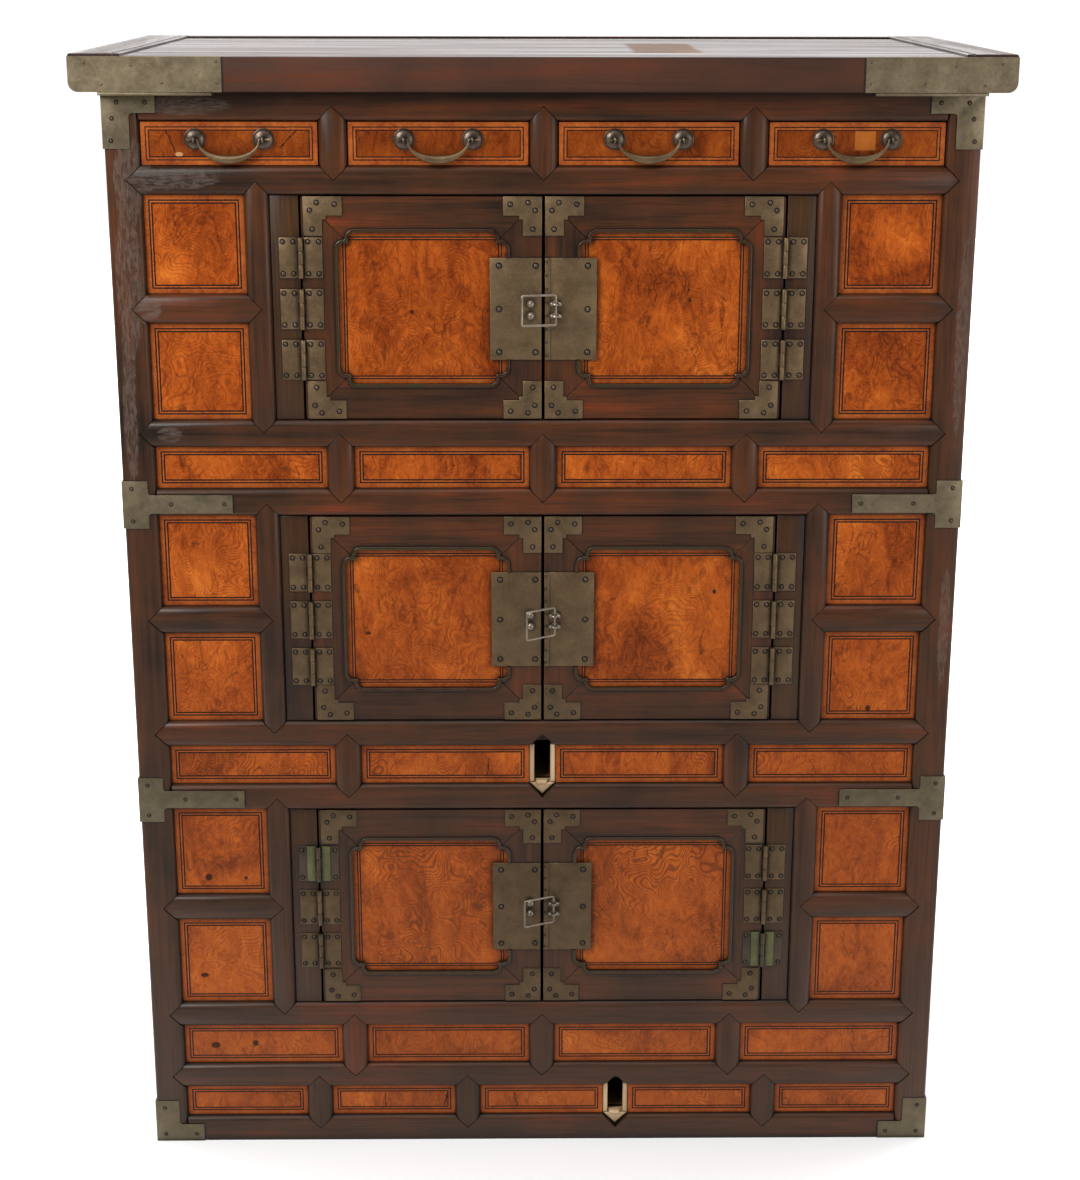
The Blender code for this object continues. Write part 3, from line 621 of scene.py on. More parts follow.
@dataclass(frozen=True)
class TopWood:
    """The slab's wood: worn lacquer, on its upper side with a split and a place bare of veneer."""

    along: Along
    upper: float = HEIGHT + 0.0385
    worn: Colour = (0.013, 0.011, 0.010)
    pore: Colour = (0.012, 0.007, 0.005)
    split: Colour = (0.004, 0.003, 0.002)
    soot_and_shade: Colour = (0.008, 0.005, 0.004)

    def make(self) -> Material:
        """Build the finish.

        Returns:
            The material.
        """
        shade = Shade(f"top_wood_{self.along.name.lower()}")
        grain = shade.grain(self.along, 2.5, 55, 6.0, 0.6, 0.5)
        pores = shade.grain(self.along, 10, 380, 3.0)
        cloud = shade.noise(shade.place(), 7.0, 4.0, 0.6)
        shade.tone = shade.ramp(
            grain * 0.5 + cloud * 0.5,
            (0.32, (0.0180, 0.0080, 0.0040)),
            (0.72, (0.1050, 0.0230, 0.0062)),
            (0.52, (0.0560, 0.0175, 0.0066)),
        )
        shade.coat((1 - pores).ease(0.5, 0.8) * 0.4, self.pore)
        across, back, up = shade.axis(Along.X), shade.axis(Along.Y), shade.axis(Along.Z) > self.upper
        shade.coat(up * 0.6, self.worn)
        wander = shade.noise(shade.place(), 22.0, 3.0) - 0.5
        split = across + wander * 0.035 - back * 0.04 + 0.026
        split = (1 - (split * split).ease(0.0, 0.0000035)) * (1 - back.ease(0.02, 0.10))
        shade.coat(split * up, self.split)
        ragged = shade.noise(shade.place((0.5, 2.5, 1)), 60.0, 8.0, 0.75) - 0.5
        beside = (across - 0.146 + ragged * 0.035).size() - 0.038
        beyond = (back + 0.045 + ragged * 0.060).size() - 0.128
        bare = (1 - beside.ease(0.0, 0.002)) * (1 - beyond.ease(0.0, 0.003)) * up
        shade.coat(bare * 0.9, shade.ramp(cloud, (0.35, (0.080, 0.042, 0.022)), (0.65, (0.130, 0.070, 0.037))))
        # Painted shade in corners, and a painted shadow line at each strap's inner end below the upper side.
        strapped = (across.size() - STRAP_END + 0.0010).size().ease(0.0007, 0.0018)
        strap_shadow = (1 - strapped) * (1 - up)
        shade.coat((1 - shade.exposed(0.012).ease(0.1, 0.9) * (1 - strap_shadow)) * 0.8, self.soot_and_shade)
        rough = (pores - up * 0.35) * 0.40 + (grain - 0.5) * 0.9 + 0.47 + bare * 0.35
        return shade.done(rough, height=grain * 0.5 + pores * 0.5, lift=0.0008, Specular_IOR_Level=0.25)


def anything(_: Any) -> bool:
    """Picks everything."""
    return True


def lying(x: float | None = None, y: float | None = None, z: float | None = None) -> Test:
    """Picks what lies wholly at the given coordinates.

    Args:
        x: World x, if it matters.
        y: World y, if it matters.
        z: World z, if it matters.

    Returns:
        The test.
    """
    wanted = [(axis, at) for axis, at in enumerate((x, y, z)) if at is not None]

    def test(item: Any) -> bool:
        """Try each corner of the item."""
        corners = getattr(item, "verts", (item,))
        return all(abs(v.co[axis] - at) < NEAR for v in corners for axis, at in wanted)
    return test


def facing(way: int) -> Test:
    """Picks faces that look to the back, or to the front for -1."""
    return lambda face: face.normal.y * way > 0.99


class Piece:
    """One mesh on the bench, shaped with Blender's own tools."""

    def __init__(self, obj: bpy.types.Object) -> None:
        """Keep the object."""
        self.obj = obj

    @classmethod
    def _add(cls, name: str, add: Callable, scale: Sequence[float] = (1, 1, 1), **settings: Any) -> "Piece":
        """Add a primitive and put its size and place in its mesh.

        Args:
            name: Name of the piece.
            add: Blender's operator for the primitive.
            scale: Size along its own axes.
            **settings: What the operator takes.

        Returns:
            The piece.
        """
        bpy.ops.object.select_all(action="DESELECT")
        add(**settings)
        obj = bpy.context.active_object
        obj.scale = scale
        bpy.ops.object.transform_apply(location=True, rotation=True, scale=True)
        obj.name = obj.data.name = name
        return cls(obj)

    @classmethod
    def block(cls, name: str, x: Span, y: Span, z: Span, ease: float = 0.0, steps: int = 2) -> "Piece":
        """A block between three spans, with its front edges rounded by ease."""
        where, size = [middle(s) for s in (x, y, z)], [s[1] - s[0] for s in (x, y, z)]
        made = cls._add(name, bpy.ops.mesh.primitive_cube_add, size, size=1, location=where)
        return made.bevel(lying(y=y[0]), ease, steps) if ease else made

    @classmethod
    def sheet(cls, name: str, x: Span, y: float, z: Span, cells: int = 1) -> "Piece":
        """A flat sheet facing the front, in cells by cells faces.

        Args:
            name: Name of the piece.
            x: Left and right edge.
            y: Depth of the sheet.
            z: Lower and upper edge.
            cells: Faces along each edge.

        Returns:
            The piece.
        """
        return cls._add(
            name, bpy.ops.mesh.primitive_grid_add, (x[1] - x[0], z[1] - z[0], 1), size=1, x_subdivisions=cells,
            y_subdivisions=cells, location=(middle(x), y, middle(z)), rotation=(pi / 2, 0, 0),
        )

    @classmethod
    def rod(cls, name: str, start: Sequence[float], end: Sequence[float], radius: float, sides: int) -> "Piece":
        """A round rod between two points.

        Args:
            name: Name of the piece.
            start: Middle of one end.
            end: Middle of the other.
            radius: Radius.
            sides: Number of flat sides.

        Returns:
            The piece.
        """
        run = Vector(end) - Vector(start)
        turn = Vector((0, 0, 1)).rotation_difference(run).to_euler()
        return cls._add(
            name, bpy.ops.mesh.primitive_cylinder_add, vertices=sides, radius=radius, depth=run.length,
            location=(Vector(start) + Vector(end)) / 2, rotation=turn,
        )

    @classmethod
    def ball(cls, name: str, where: Sequence[float], radius: float, flat: float, sides: int) -> "Piece":
        """A ball with its poles to front and back, flattened towards the face.

        Args:
            name: Name of the piece.
            where: Its middle.
            radius: Radius.
            flat: Depth as a share of the radius.
            sides: Number of segments.

        Returns:
            The piece.
        """
        return cls._add(
            name, bpy.ops.mesh.primitive_uv_sphere_add, (1, 1, flat), segments=sides, ring_count=sides // 2,
            radius=radius, location=where, rotation=(pi / 2, 0, 0),
        )

    @classmethod
    def hoop(cls, name: str, where: Sequence[float], along: Along, radius: float, wire: float) -> "Piece":
        """A ring of wire round the x or z axis.

        Args:
            name: Name of the piece.
            where: Its middle.
            along: The axis it lies round.
            radius: Radius to the middle of the wire.
            wire: Radius of the wire.

        Returns:
            The piece.
        """
        return cls._add(
            name, bpy.ops.mesh.primitive_torus_add, location=where, rotation=(0, pi / 2 * (along is Along.X), 0),
            major_segments=20, minor_segments=8, major_radius=radius, minor_radius=wire,
        )

    @classmethod
    def joined(cls, name: str, pieces: Sequence["Piece"]) -> "Piece":
        """Several pieces as one object.

        Args:
            name: Name of the piece.
            pieces: What is joined; the first one stays.

        Returns:
            The whole.
        """
        pieces[0].hold()
        for piece in pieces:
            piece.obj.select_set(True)
        if len(pieces) > 1:
            bpy.ops.object.join()
        whole = cls(bpy.context.active_object)
        whole.obj.name = whole.obj.data.name = name
        return whole

    @classmethod
    def linked(cls, name: str, data: bpy.types.ID) -> "Piece":
        """A new object round a mesh or curve."""
        obj = bpy.data.objects.new(name, data)
        bpy.context.scene.collection.objects.link(obj)
        return cls(obj)

    def hold(self) -> None:
        """Select this piece alone."""
        bpy.ops.object.select_all(action="DESELECT")
        self.obj.select_set(True)
        bpy.context.view_layer.objects.active = self.obj

    def convert(self, kind: str) -> "Piece":
        """Turn a mesh into a curve, or a curve into a mesh."""
        self.hold()
        bpy.ops.object.convert(target=kind)
        return Piece(bpy.context.active_object)

    def discard(self) -> None:
        """Take the piece off the bench."""
        bpy.data.objects.remove(self.obj)

    @contextmanager
    def picked(self, kind: Pick, test: Test) -> Iterator[None]:
        """Edit mode with what passes the test selected.

        Args:
            kind: Vertices, edges or faces.
            test: Says whether one of them is picked.

        Yields:
            Nothing.
        """
        self.hold()
        bpy.ops.object.mode_set(mode="EDIT")
        bpy.ops.mesh.select_mode(type=kind.name)
        bpy.ops.mesh.select_all(action="DESELECT")
        bm = bmesh.from_edit_mesh(self.obj.data)
        for item in getattr(bm, kind.value):
            if test(item):
                item.select_set(True)
        bm.select_flush_mode()
        bmesh.update_edit_mesh(self.obj.data)
        yield
        bpy.ops.object.mode_set(mode="OBJECT")

    def bevel(self, test: Test, width: float, steps: int = 2, kind: Pick = Pick.EDGE) -> "Piece":
        """Round the picked edges or corners.

        Args:
            test: Picks them.
            width: Width of the rounding.
            steps: Number of segments.
            kind: Edges, or vertices for corners.

        Returns:
            This piece.
        """
        affect = "EDGES" if kind is Pick.EDGE else "VERTICES"
        with self.picked(kind, test):
            bpy.ops.mesh.bevel(offset=width, segments=steps, affect=affect, clamp_overlap=False)
        return self

    def cut(self, point: Sequence[float], normal: Sequence[float]) -> "Piece":
        """Saw through a plane and drop what lies ahead of its normal."""
        with self.picked(Pick.FACE, anything):
            bpy.ops.mesh.bisect(plane_co=point, plane_no=normal, use_fill=True, clear_outer=True)
        return self

    def push(self, by: float) -> "Piece":
        """Give a flat sheet a thickness along y, with every face turned outwards."""
        with self.picked(Pick.FACE, anything):
            bpy.ops.mesh.extrude_region_move(TRANSFORM_OT_translate={"value": Along.Y.vector(by)})
        return self.right()

    def spread(self, along: Along, *lines: tuple[float, float]) -> "Piece":
        """Move lines of corners along an axis, each from one coordinate to another.

        Args:
            along: The axis.
            *lines: Where each line lies and where it goes.

        Returns:
            This piece.
        """
        for start, end in lines:
            with self.picked(Pick.VERT, lambda v: abs(v.co[along.value] - start) < NEAR):
                bpy.ops.transform.translate(value=along.vector(end - start))
        return self

    def drop(self, test: Test, what: str = "FACE") -> "Piece":
        """Delete the picked faces."""
        with self.picked(Pick.FACE, test):
            bpy.ops.mesh.delete(type=what)
        return self

    def _paint(self, slot: int) -> None:
        """Give the faces selected in edit mode a slot.

        Args:
            slot: Index of the slot.
        """
        bm = bmesh.from_edit_mesh(self.obj.data)
        for face in bm.faces:
            if face.select:
                face.material_index = slot
        bmesh.update_edit_mesh(self.obj.data)

    def line(self, test: Test, slot: int) -> "Piece":
        """Give the picked faces a slot."""
        with self.picked(Pick.FACE, test):
            self._paint(slot)
        return self

    def rings(self, test: Test, *steps: tuple[float, int]) -> "Piece":
        """Inset the picked face again and again.

        Args:
            test: Picks the face.
            *steps: The width of each inset and the slot of the face left inside it.

        Returns:
            This piece.
        """
        with self.picked(Pick.FACE, test):
            for width, slot in steps:
                bpy.ops.mesh.inset(thickness=width)
                self._paint(slot)
        return self

    def right(self) -> "Piece":
        """Merge doubles and turn every face outwards.

        Returns:
            This piece.
        """
        with self.picked(Pick.FACE, anything):
            bpy.ops.mesh.remove_doubles(threshold=NEAR)
            bpy.ops.mesh.normals_make_consistent(inside=False)
        return self

    def less(self, *cutters: "Piece") -> "Piece":
        """Cut other pieces out of this one; they are used up.

        Args:
            *cutters: What is cut away.

        Returns:
            This piece.
        """
        if cutters:
            tool = Piece.joined("cutter", cutters)
            self.hold()
            modifier = self.obj.modifiers.new("boolean", "BOOLEAN")
            modifier.operation, modifier.solver, modifier.object = "DIFFERENCE", "EXACT", tool.obj
            bpy.ops.object.modifier_apply(modifier=modifier.name)
            tool.discard()
        return self

    def soft(self, angle: float) -> "Piece":
        """Shade smooth across edges blunter than the angle in degrees."""
        self.hold()
        bpy.ops.object.shade_smooth_by_angle(angle=radians(angle))
        return self

    def copy(self, name: str, matrix: Matrix) -> "Piece":
        """A copy with its own mesh, moved or mirrored by a matrix.

        Args:
            name: Name of the copy.
            matrix: Where it goes.

        Returns:
            The copy.
        """
        twin = Piece.linked(name, self.obj.data.copy())
        twin.obj.data.name = name
        twin.obj.data.transform(matrix)
        if matrix.determinant() < 0:
            twin.obj.data.flip_normals()
        return twin

    def wear(self, *materials: Material) -> "Piece":
        """Put the materials in the piece's slots."""
        for material in materials:
            self.obj.data.materials.append(material)
        return self

    def fit(self, body: str, slot: str, *nodes: str) -> None:
        """Ride on a body and stand for CAD nodes, which are hidden.

        Args:
            body: Name of the body.
            slot: Name of the finish slot; not used.
            *nodes: Names of the nodes.
        """
        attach(self.obj, body)
        if nodes:
            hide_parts(*nodes)
        LOG.info("%s rides on %s", self.obj.name, body)


MIRROR = Matrix.Scale(-1, 4, (1, 0, 0))


def moved(x: float, y: float, z: float) -> Matrix:
    """A plain shift."""
    return Matrix.Translation((x, y, z))


@dataclass
class Member:
    """A convex stick of the frame with mitred points at its ends."""

    name: str
    along: Along
    run: Span
    across: Span
    depth: Span
    tips: tuple[bool, bool] = (True, True)
    rounded: tuple[bool, bool] = (True, True)
    worn: float = 0.0006
    loose: float = 0.0008

    def stick(self, name: str, grow: float, depth: Span) -> Piece:
        """A block along the member's axis, with its ends sawn to points at 45 degrees.

        Args:
            name: Name of the piece.
            grow: How much wider it is on each side.
            depth: World y of its front and back.

        Returns:
            The stick.
        """
        across = inset(self.across, -grow)
        point = (across[1] - across[0]) / 2
        run = (self.run[0] - point * self.tips[0], self.run[1] + point * self.tips[1])
        level = self.along is Along.X
        piece = Piece.block(name, run if level else across, depth, across if level else run)
        if not grow:
            self.round_front(piece)
        for end, tip in enumerate(self.tips):
            for side in (-1, 1) if tip else ():
                way, core = (-1, 1)[end], middle(across)
                place = (run[end], 0, core) if level else (core, 0, run[end])
                piece.cut(place, (way, 0, side) if level else (side, 0, way))
        return piece

    def round_front(self, piece: Piece) -> None:
        """Round the long front edges that show."""
        name = "z" if self.along is Along.X else "x"
        edges = [lying(y=self.depth[0], **{name: at}) for at, wanted in zip(self.across, self.rounded) if wanted]
        piece.bevel(lambda e: any(test(e) for test in edges), ROUNDING, 5)

    def make(self) -> Piece:
        """The stick, with the front edges of its sawn faces blunted by wear.

        Returns:
            The stick.
        """
        def mitred(edge: Any) -> bool:
            """Whether an edge parts a sawn face from the front."""
            normals = [face.normal for face in edge.link_faces]
            sawn = [n for n in normals if abs(n.y) < 0.05 and abs(abs(n.x) - abs(n.z)) < 0.05]
            return len(normals) == 2 and len(sawn) == 1 and any(n.y < -0.2 for n in normals)

        return self.stick(self.name, 0.0, self.depth).bevel(mitred, self.worn).soft(WOOD_EDGE)

    def housing(self) -> Piece:
        """A cutter a little larger than the pointed stick."""
        return self.stick("housing", self.loose, (self.depth[0] - 2 * PAST, self.depth[1] + SNUG))


class Finishes:
    """The chest's materials, each built once."""

    def __init__(self) -> None:
        """Mix every finish; scuffs are at x, z with half sizes."""
        worn = (
            (-0.405, 1.318, 0.075, 0.016), (-0.420, 1.236, 0.075, 0.017), (-0.478, 1.120, 0.022, 0.130),
            (-0.470, 1.240, 0.030, 0.060), (-0.456, 1.087, 0.020, 0.020), (-0.485, 0.960, 0.012, 0.120),
            (0.488, 1.050, 0.010, 0.180), (0.487, 0.700, 0.010, 0.110), (-0.440, 0.938, 0.022, 0.014),
        )
        self.rail = DarkWood(Along.X, 1.0, scuffs=worn).make()
        self.post = DarkWood(Along.Z, 0.9, scuffs=worn).make()
        self.side = DarkWood(Along.Z, 0.9, 0.26, rough=0.36, label="side_wood").make()
        self.jamb = DarkWood(Along.Z, 0.60, label="jamb_wood").make()
        self.bead = DarkWood(Along.Y, 0.30, 0.30, 0.90, 0.16, "bead_wood", 0.0, 0.0).make()
        self.end = TopWood(Along.Y).make()
        self.top = TopWood(Along.X).make()
        crack, knot = Mark.CRACK, Mark.KNOT
        drawn = (
            (crack, -0.4291, 1.2913, -0.4189, 1.2656), (crack, -0.2804, 1.2914, -0.2992, 1.2713),
            (Mark.CHIP, -0.4150, 1.2632, 0.0048, 0.0030), (Mark.PATCH, 0.3669, 1.2807, 0.0118, 0.0125),
            (crack, -0.1620, 1.2900, -0.1570, 1.2640), (crack, 0.1600, 1.2880, 0.1690, 1.2640),
        )
        aged = (
            (crack, -0.0673, 0.5274, -0.0675, 0.4955), (crack, -0.2036, 0.0640, -0.2015, 0.0340),
            (crack, -0.1230, 0.0640, -0.1272, 0.0340), (knot, -0.4191, 0.3684, 0.0055, 0.0060),
            (knot, -0.3726, 0.3669, 0.0030, 0.0030), (knot, -0.4299, 0.2327, 0.0065, 0.0040),
            (knot, -0.4199, 0.1332, 0.0075, 0.0055), (knot, -0.3684, 0.1359, 0.0045, 0.0055),
            (knot, -0.4060, 0.7020, 0.0035, 0.0040), (knot, 0.4010, 0.5920, 0.0040, 0.0045),
            (crack, -0.0350, 0.0630, -0.0310, 0.0360), (crack, 0.2900, 0.0640, 0.2930, 0.0350),
        )
        doors = (
            (knot, -0.1530, 1.0824, 0.0032, 0.0034), (knot, 0.1709, 1.0964, 0.0020, 0.0034),
            (knot, 0.1690, 1.1080, 0.0016, 0.0022), (crack, 0.1060, 0.9750, 0.1300, 0.9800),
            (knot, -0.2120, 0.6900, 0.0040, 0.0030), (knot, 0.2080, 0.7420, 0.0030, 0.0036),
        )
        self.burl = Burl("field_burl", 0.40, 0.98, aged).make()
        self.panel = Burl("door_burl", 0.40, 0.90, doors).make()
        self.contour = Burl("contour_burl", 0.66, 0.98, aged).make()
        self.front = Burl("drawer_burl", 0.30, 0.58, drawn).make()
        self.band = Veneer("crossband", (0.430, 0.1080, 0.0170), (0.190, 0.0340, 0.0060)).make()
        self.string = Veneer("stringing", (0.0120, 0.0055, 0.0036), (0.0060, 0.0036, 0.0028)).make()
        self.raw = PlainWood("raw_wood", (0.560, 0.400, 0.230), (0.300, 0.170, 0.080), Along.Z).make()
        self.box = PlainWood("drawer_wood", (0.430, 0.270, 0.135), (0.240, 0.130, 0.060), Along.Y).make()
        self.back = PlainWood("back_wood", (0.150, 0.084, 0.042), (0.062, 0.032, 0.016), Along.Z).make()
        self.inside = PlainWood("inside_wood", (0.300, 0.180, 0.095), (0.150, 0.080, 0.040), Along.X).make()
        self.brass = Brass("old_brass", (0.238, 0.188, 0.114), (0.118, 0.091, 0.054), 0.36, beaten=0.0020).make()
        self.plate = Brass("plate_brass", (0.212, 0.138, 0.070), (0.098, 0.063, 0.032), 0.34).make()
        self.bright = Brass("rubbed_brass", (0.370, 0.310, 0.240), (0.170, 0.138, 0.105), 0.22, 0.0, 0.0001).make()
        self.domes = Brass("dark_brass", (0.145, 0.106, 0.076), (0.056, 0.040, 0.029), 0.27).make()
        self.green = Brass("green_brass", (0.240, 0.235, 0.105), (0.095, 0.100, 0.046), 0.40).make()
        # Dark rings round the nail heads: stain and painted shade.
        self.stain = Brass("nail_stain", (0.020, 0.014, 0.009), (0.008, 0.006, 0.004), 0.60).make()


@dataclass
class Nails:
    """Round-headed nails in rings of stain and painted shade, modelled once and copied to every plate."""

    finishes: Finishes
    radius: float = 0.0024
    rise: float = 0.50
    ring: float = 0.00006

    def __post_init__(self) -> None:
        """Turn one head with its ring and keep it aside as a mesh."""
        head = Piece.ball("nail", (0, 0, 0), self.radius, self.rise, 10)
        head.cut((0, self.radius * 0.12, 0), (0, 1, 0)).soft(ROUND_EDGE).wear(self.finishes.domes)
        # A thin dark ring round each head: stain and painted shade.
        ring = Piece.rod("ring", (0, self.ring, 0), (0, -self.ring, 0), self.radius * 1.42, 12)
        ring.bevel(lying(y=-self.ring), self.ring, 1).wear(self.finishes.stain)
        nail = Piece.joined("nail", [head, ring])
        self.mesh = nail.obj.data.copy()
        nail.discard()

    def drive(self, name: str, places: Places, y: float, body: str, grow: float = 1.0) -> None:
        """Nail a plate.

        Args:
            name: Name of all the heads, as one piece.
            places: The x and z of each.
            y: World y of the plate's face.
            body: What they ride on.
            grow: Size of the heads.
        """
        heads = [Piece.linked("head", self.mesh.copy()) for _ in places]
        for head, (x, z) in zip(heads, places):
            head.obj.data.transform(moved(x, y, z) @ Matrix.Scale(grow, 4))
        Piece.joined(name, heads).fit(body, BRASS)


@dataclass
class Field:
    """A burl panel with an orange crossband and two black strings round it."""

    name: str
    x: Span
    z: Span
    front: float = 0.009
    thick: float = 0.012
    band: float = 0.0052
    line: float = 0.0017
    between: float = 0.0016

    def make(self, finishes: Finishes, burl: Material) -> Piece:
        """Build the panel and lay its veneers.

        Args:
            finishes: All finishes.
            burl: The panel's own.

        Returns:
            The panel.
        """
        piece = Piece.block(self.name, self.x, deep(self.front, self.front + self.thick), self.z)
        rings = ((self.band, 1), (self.line, 0), (self.between, 1), (self.line, 2))
        piece.rings(facing(-1), *rings).line(facing(1), 3)
        return piece.wear(finishes.band, finishes.string, burl, finishes.inside)


@dataclass
class Front:
    """Posts, rails, dividers, stiles and the burl fields of the face."""

    finishes: Finishes
    set_back: float = 0.0006
    deep_rail: float = 0.030
    deep_stick: float = 0.025
    deep_post: float = 0.045
    outer_round: float = 0.004
    crossbar: float = 0.035
    slot_half: float = 0.010
    cheek: Span = (0.0105, 0.021)  # depths of what is left of a lost divider's seat
    seat: Span = (0.009, 0.0248)
    crest: Span = (0.008, 0.016)

    def rails(self) -> dict[str, Member]:
        """The nine rails; those with no plate over their ends are pointed into the posts.

        Returns:
            Rails by name.
        """
        found = {}
        for name, _ in STACK:
            if name.endswith(("rail", "sill", "head")):
                low, high = LEVEL[name]
                tips = (name not in PLATED,) * 2
                across = (max(low, GAP), min(high, HEIGHT - GAP))
                depth, edges = deep(self.set_back, self.deep_rail), (name != "base_rail", name != "top_rail")
                found[name] = Member(name, Along.X, (-INNER, INNER), across, depth, tips, edges)
        return found

    def stick(self, name: str, along: Along, run: Span, across: Span) -> Member:
        """A member of a divider's depth."""
        return Member(name, along, run, across, deep(self.set_back, self.deep_stick))

    def dividers(self) -> dict[str, list[Member]]:
        """The upright dividers of each row, lost ones too.

        Returns:
            Dividers by row.
        """
        return {
            row: [
                self.stick(f"{row}_divider_{k}", Along.Z, LEVEL[row], about(x, DIVIDER))
                for k, x in enumerate(middles, 1)
            ]
            for row, middles in ROWS.items()
        }

    def beside_doors(self) -> tuple[dict[str, Member], dict[str, Member]]:
        """The pointed stile on each side of each pair of doors, and the crossbar from it to the post.

        Returns:
            Stiles and crossbars by tier and side.
        """
        stiles, bars = {}, {}
        for tier in TIERS:
            tall = LEVEL[f"{tier}_doors"]
            for side, sign in SIDES:
                tag = f"{tier}_{side}"
                stiles[tag] = self.stick(f"{tag}_stile", Along.Z, tall, span(sign * STILE_IN, sign * STILE_OUT))
                run, across = span(sign * STILE_OUT, sign * INNER), about(middle(tall), self.crossbar)
                bars[tag] = self.stick(f"{tag}_crossbar", Along.X, run, across)
        return stiles, bars

    def make_post(self, name: str, sign: int, guests: Sequence[Member]) -> None:
        """A front post with a V housing for each point that meets it.

        Args:
            name: Side of the chest.
            sign: The same as a sign.
            guests: Members whose points meet it.
        """
        x = span(sign * INNER, sign * HALF)
        post = Piece.block(f"{name}_front_post_wood", x, deep(0.0, self.deep_post), (0.0, HEIGHT))
        post.bevel(lying(x=sign * INNER, y=FACE_Y), ROUNDING, 5)
        post.bevel(lying(x=sign * HALF, y=FACE_Y), self.outer_round, 3)
        post.less(*[guest.housing() for guest in guests]).soft(WOOD_EDGE)
        post.wear(self.finishes.post).fit(CARCASS, WOOD, f"{name}_front_post")

    def make_fields(self) -> None:
        """The burl fields between the dividers, and those beside the doors."""
        for row, middles in list(ROWS.items())[1:]:
            burl = self.finishes.contour if row == "middle_row" else self.finishes.burl
            for k, x in enumerate(bays(middles), 1):
                field = Field(f"{row}_field_{k}", inset(x, SNUG), inset(LEVEL[row], SNUG))
                field.make(self.finishes, burl).fit(CARCASS, BURL, BELTS.get(row, "base_belt"))
        for tier in TIERS:
            low, high = LEVEL[f"{tier}_doors"]
            bar = about(middle((low, high)), self.crossbar)
            for side, sign in SIDES:
                x = inset(span(sign * STILE_OUT, sign * INNER), SNUG)
                for half, pair in (("upper", (bar[1], high)), ("lower", (low, bar[0]))):
                    field = Field(f"{tier}_{side}_{half}_field", x, inset(pair, SNUG))
                    field.make(self.finishes, self.finishes.burl).fit(CARCASS, BURL, f"{tier}_{side}_bay")

    def make_lost(self, row: str, member: Member) -> None:
        """The broken seat of a lost divider: pale cheeks, a pale point below and a torn crest.

        Args:
            row: Name of the row.
            member: The divider that is lost.
        """
        x, foot = middle(member.across), member.run[0]
        pieces = []
        for sign in (-1, 1):
            pair = span(x + sign * self.slot_half, x + sign * (DIVIDER / 2 - SNUG))
            pieces.append(Piece.block("cheek", pair, deep(*self.cheek), inset(member.run, SNUG), 0.0012))
        point, y = DIVIDER / 2 - 0.0008, deep(*self.seat)
        seat = Piece.block("seat", (x - point, x + point), y, (foot - point, foot - FINE))
        for sign in (-1, 1):
            seat.cut((x, 0, foot - point), (sign, 0, -1))
        pieces.append(seat.bevel(lying(y=y[0]), 0.0015))
        crest = (x - 0.008, x + 0.006), deep(*self.crest), (foot - 0.003, foot + 0.003)
        pieces.append(Piece.block("crest", *crest, 0.002))
        Piece.joined(f"{row}_broken_seat", pieces).wear(self.finishes.raw).fit(CARCASS, PALE)

    def make(self) -> None:
        """Build the whole face of the carcass."""
        rails, dividers, (stiles, bars) = self.rails(), self.dividers(), self.beside_doors()
        upright = [m for row in dividers.values() for m in row] + list(stiles.values())
        for name, rail in rails.items():
            guests = [m for m in upright if any(abs(a - b) < NEAR for a in m.run for b in rail.across)]
            piece = rail.make().less(*[m.housing() for m in guests]).soft(WOOD_EDGE)
            piece.wear(self.finishes.rail).fit(CARCASS, WOOD, BELTS.get(name, "base_belt"))
        for side, sign in SIDES:
            guests = [rail for rail in rails.values() if rail.tips[0]]
            self.make_post(side, sign, guests + [bars[f"{tier}_{side}"] for tier in TIERS])
        for row, members in dividers.items():
            for member in members:
                if row in LOST and abs(middle(member.across) - LOST[row]) < NEAR:
                    self.make_lost(row, member)
                else:
                    member.make().wear(self.finishes.post).fit(CARCASS, WOOD)
        for tag, stile in stiles.items():
            piece = stile.make().less(bars[tag].housing()).soft(WOOD_EDGE)
            piece.wear(self.finishes.post).fit(CARCASS, WOOD, f"{tag}_bay")
            bars[tag].make().wear(self.finishes.rail).fit(CARCASS, WOOD)
        self.make_fields()


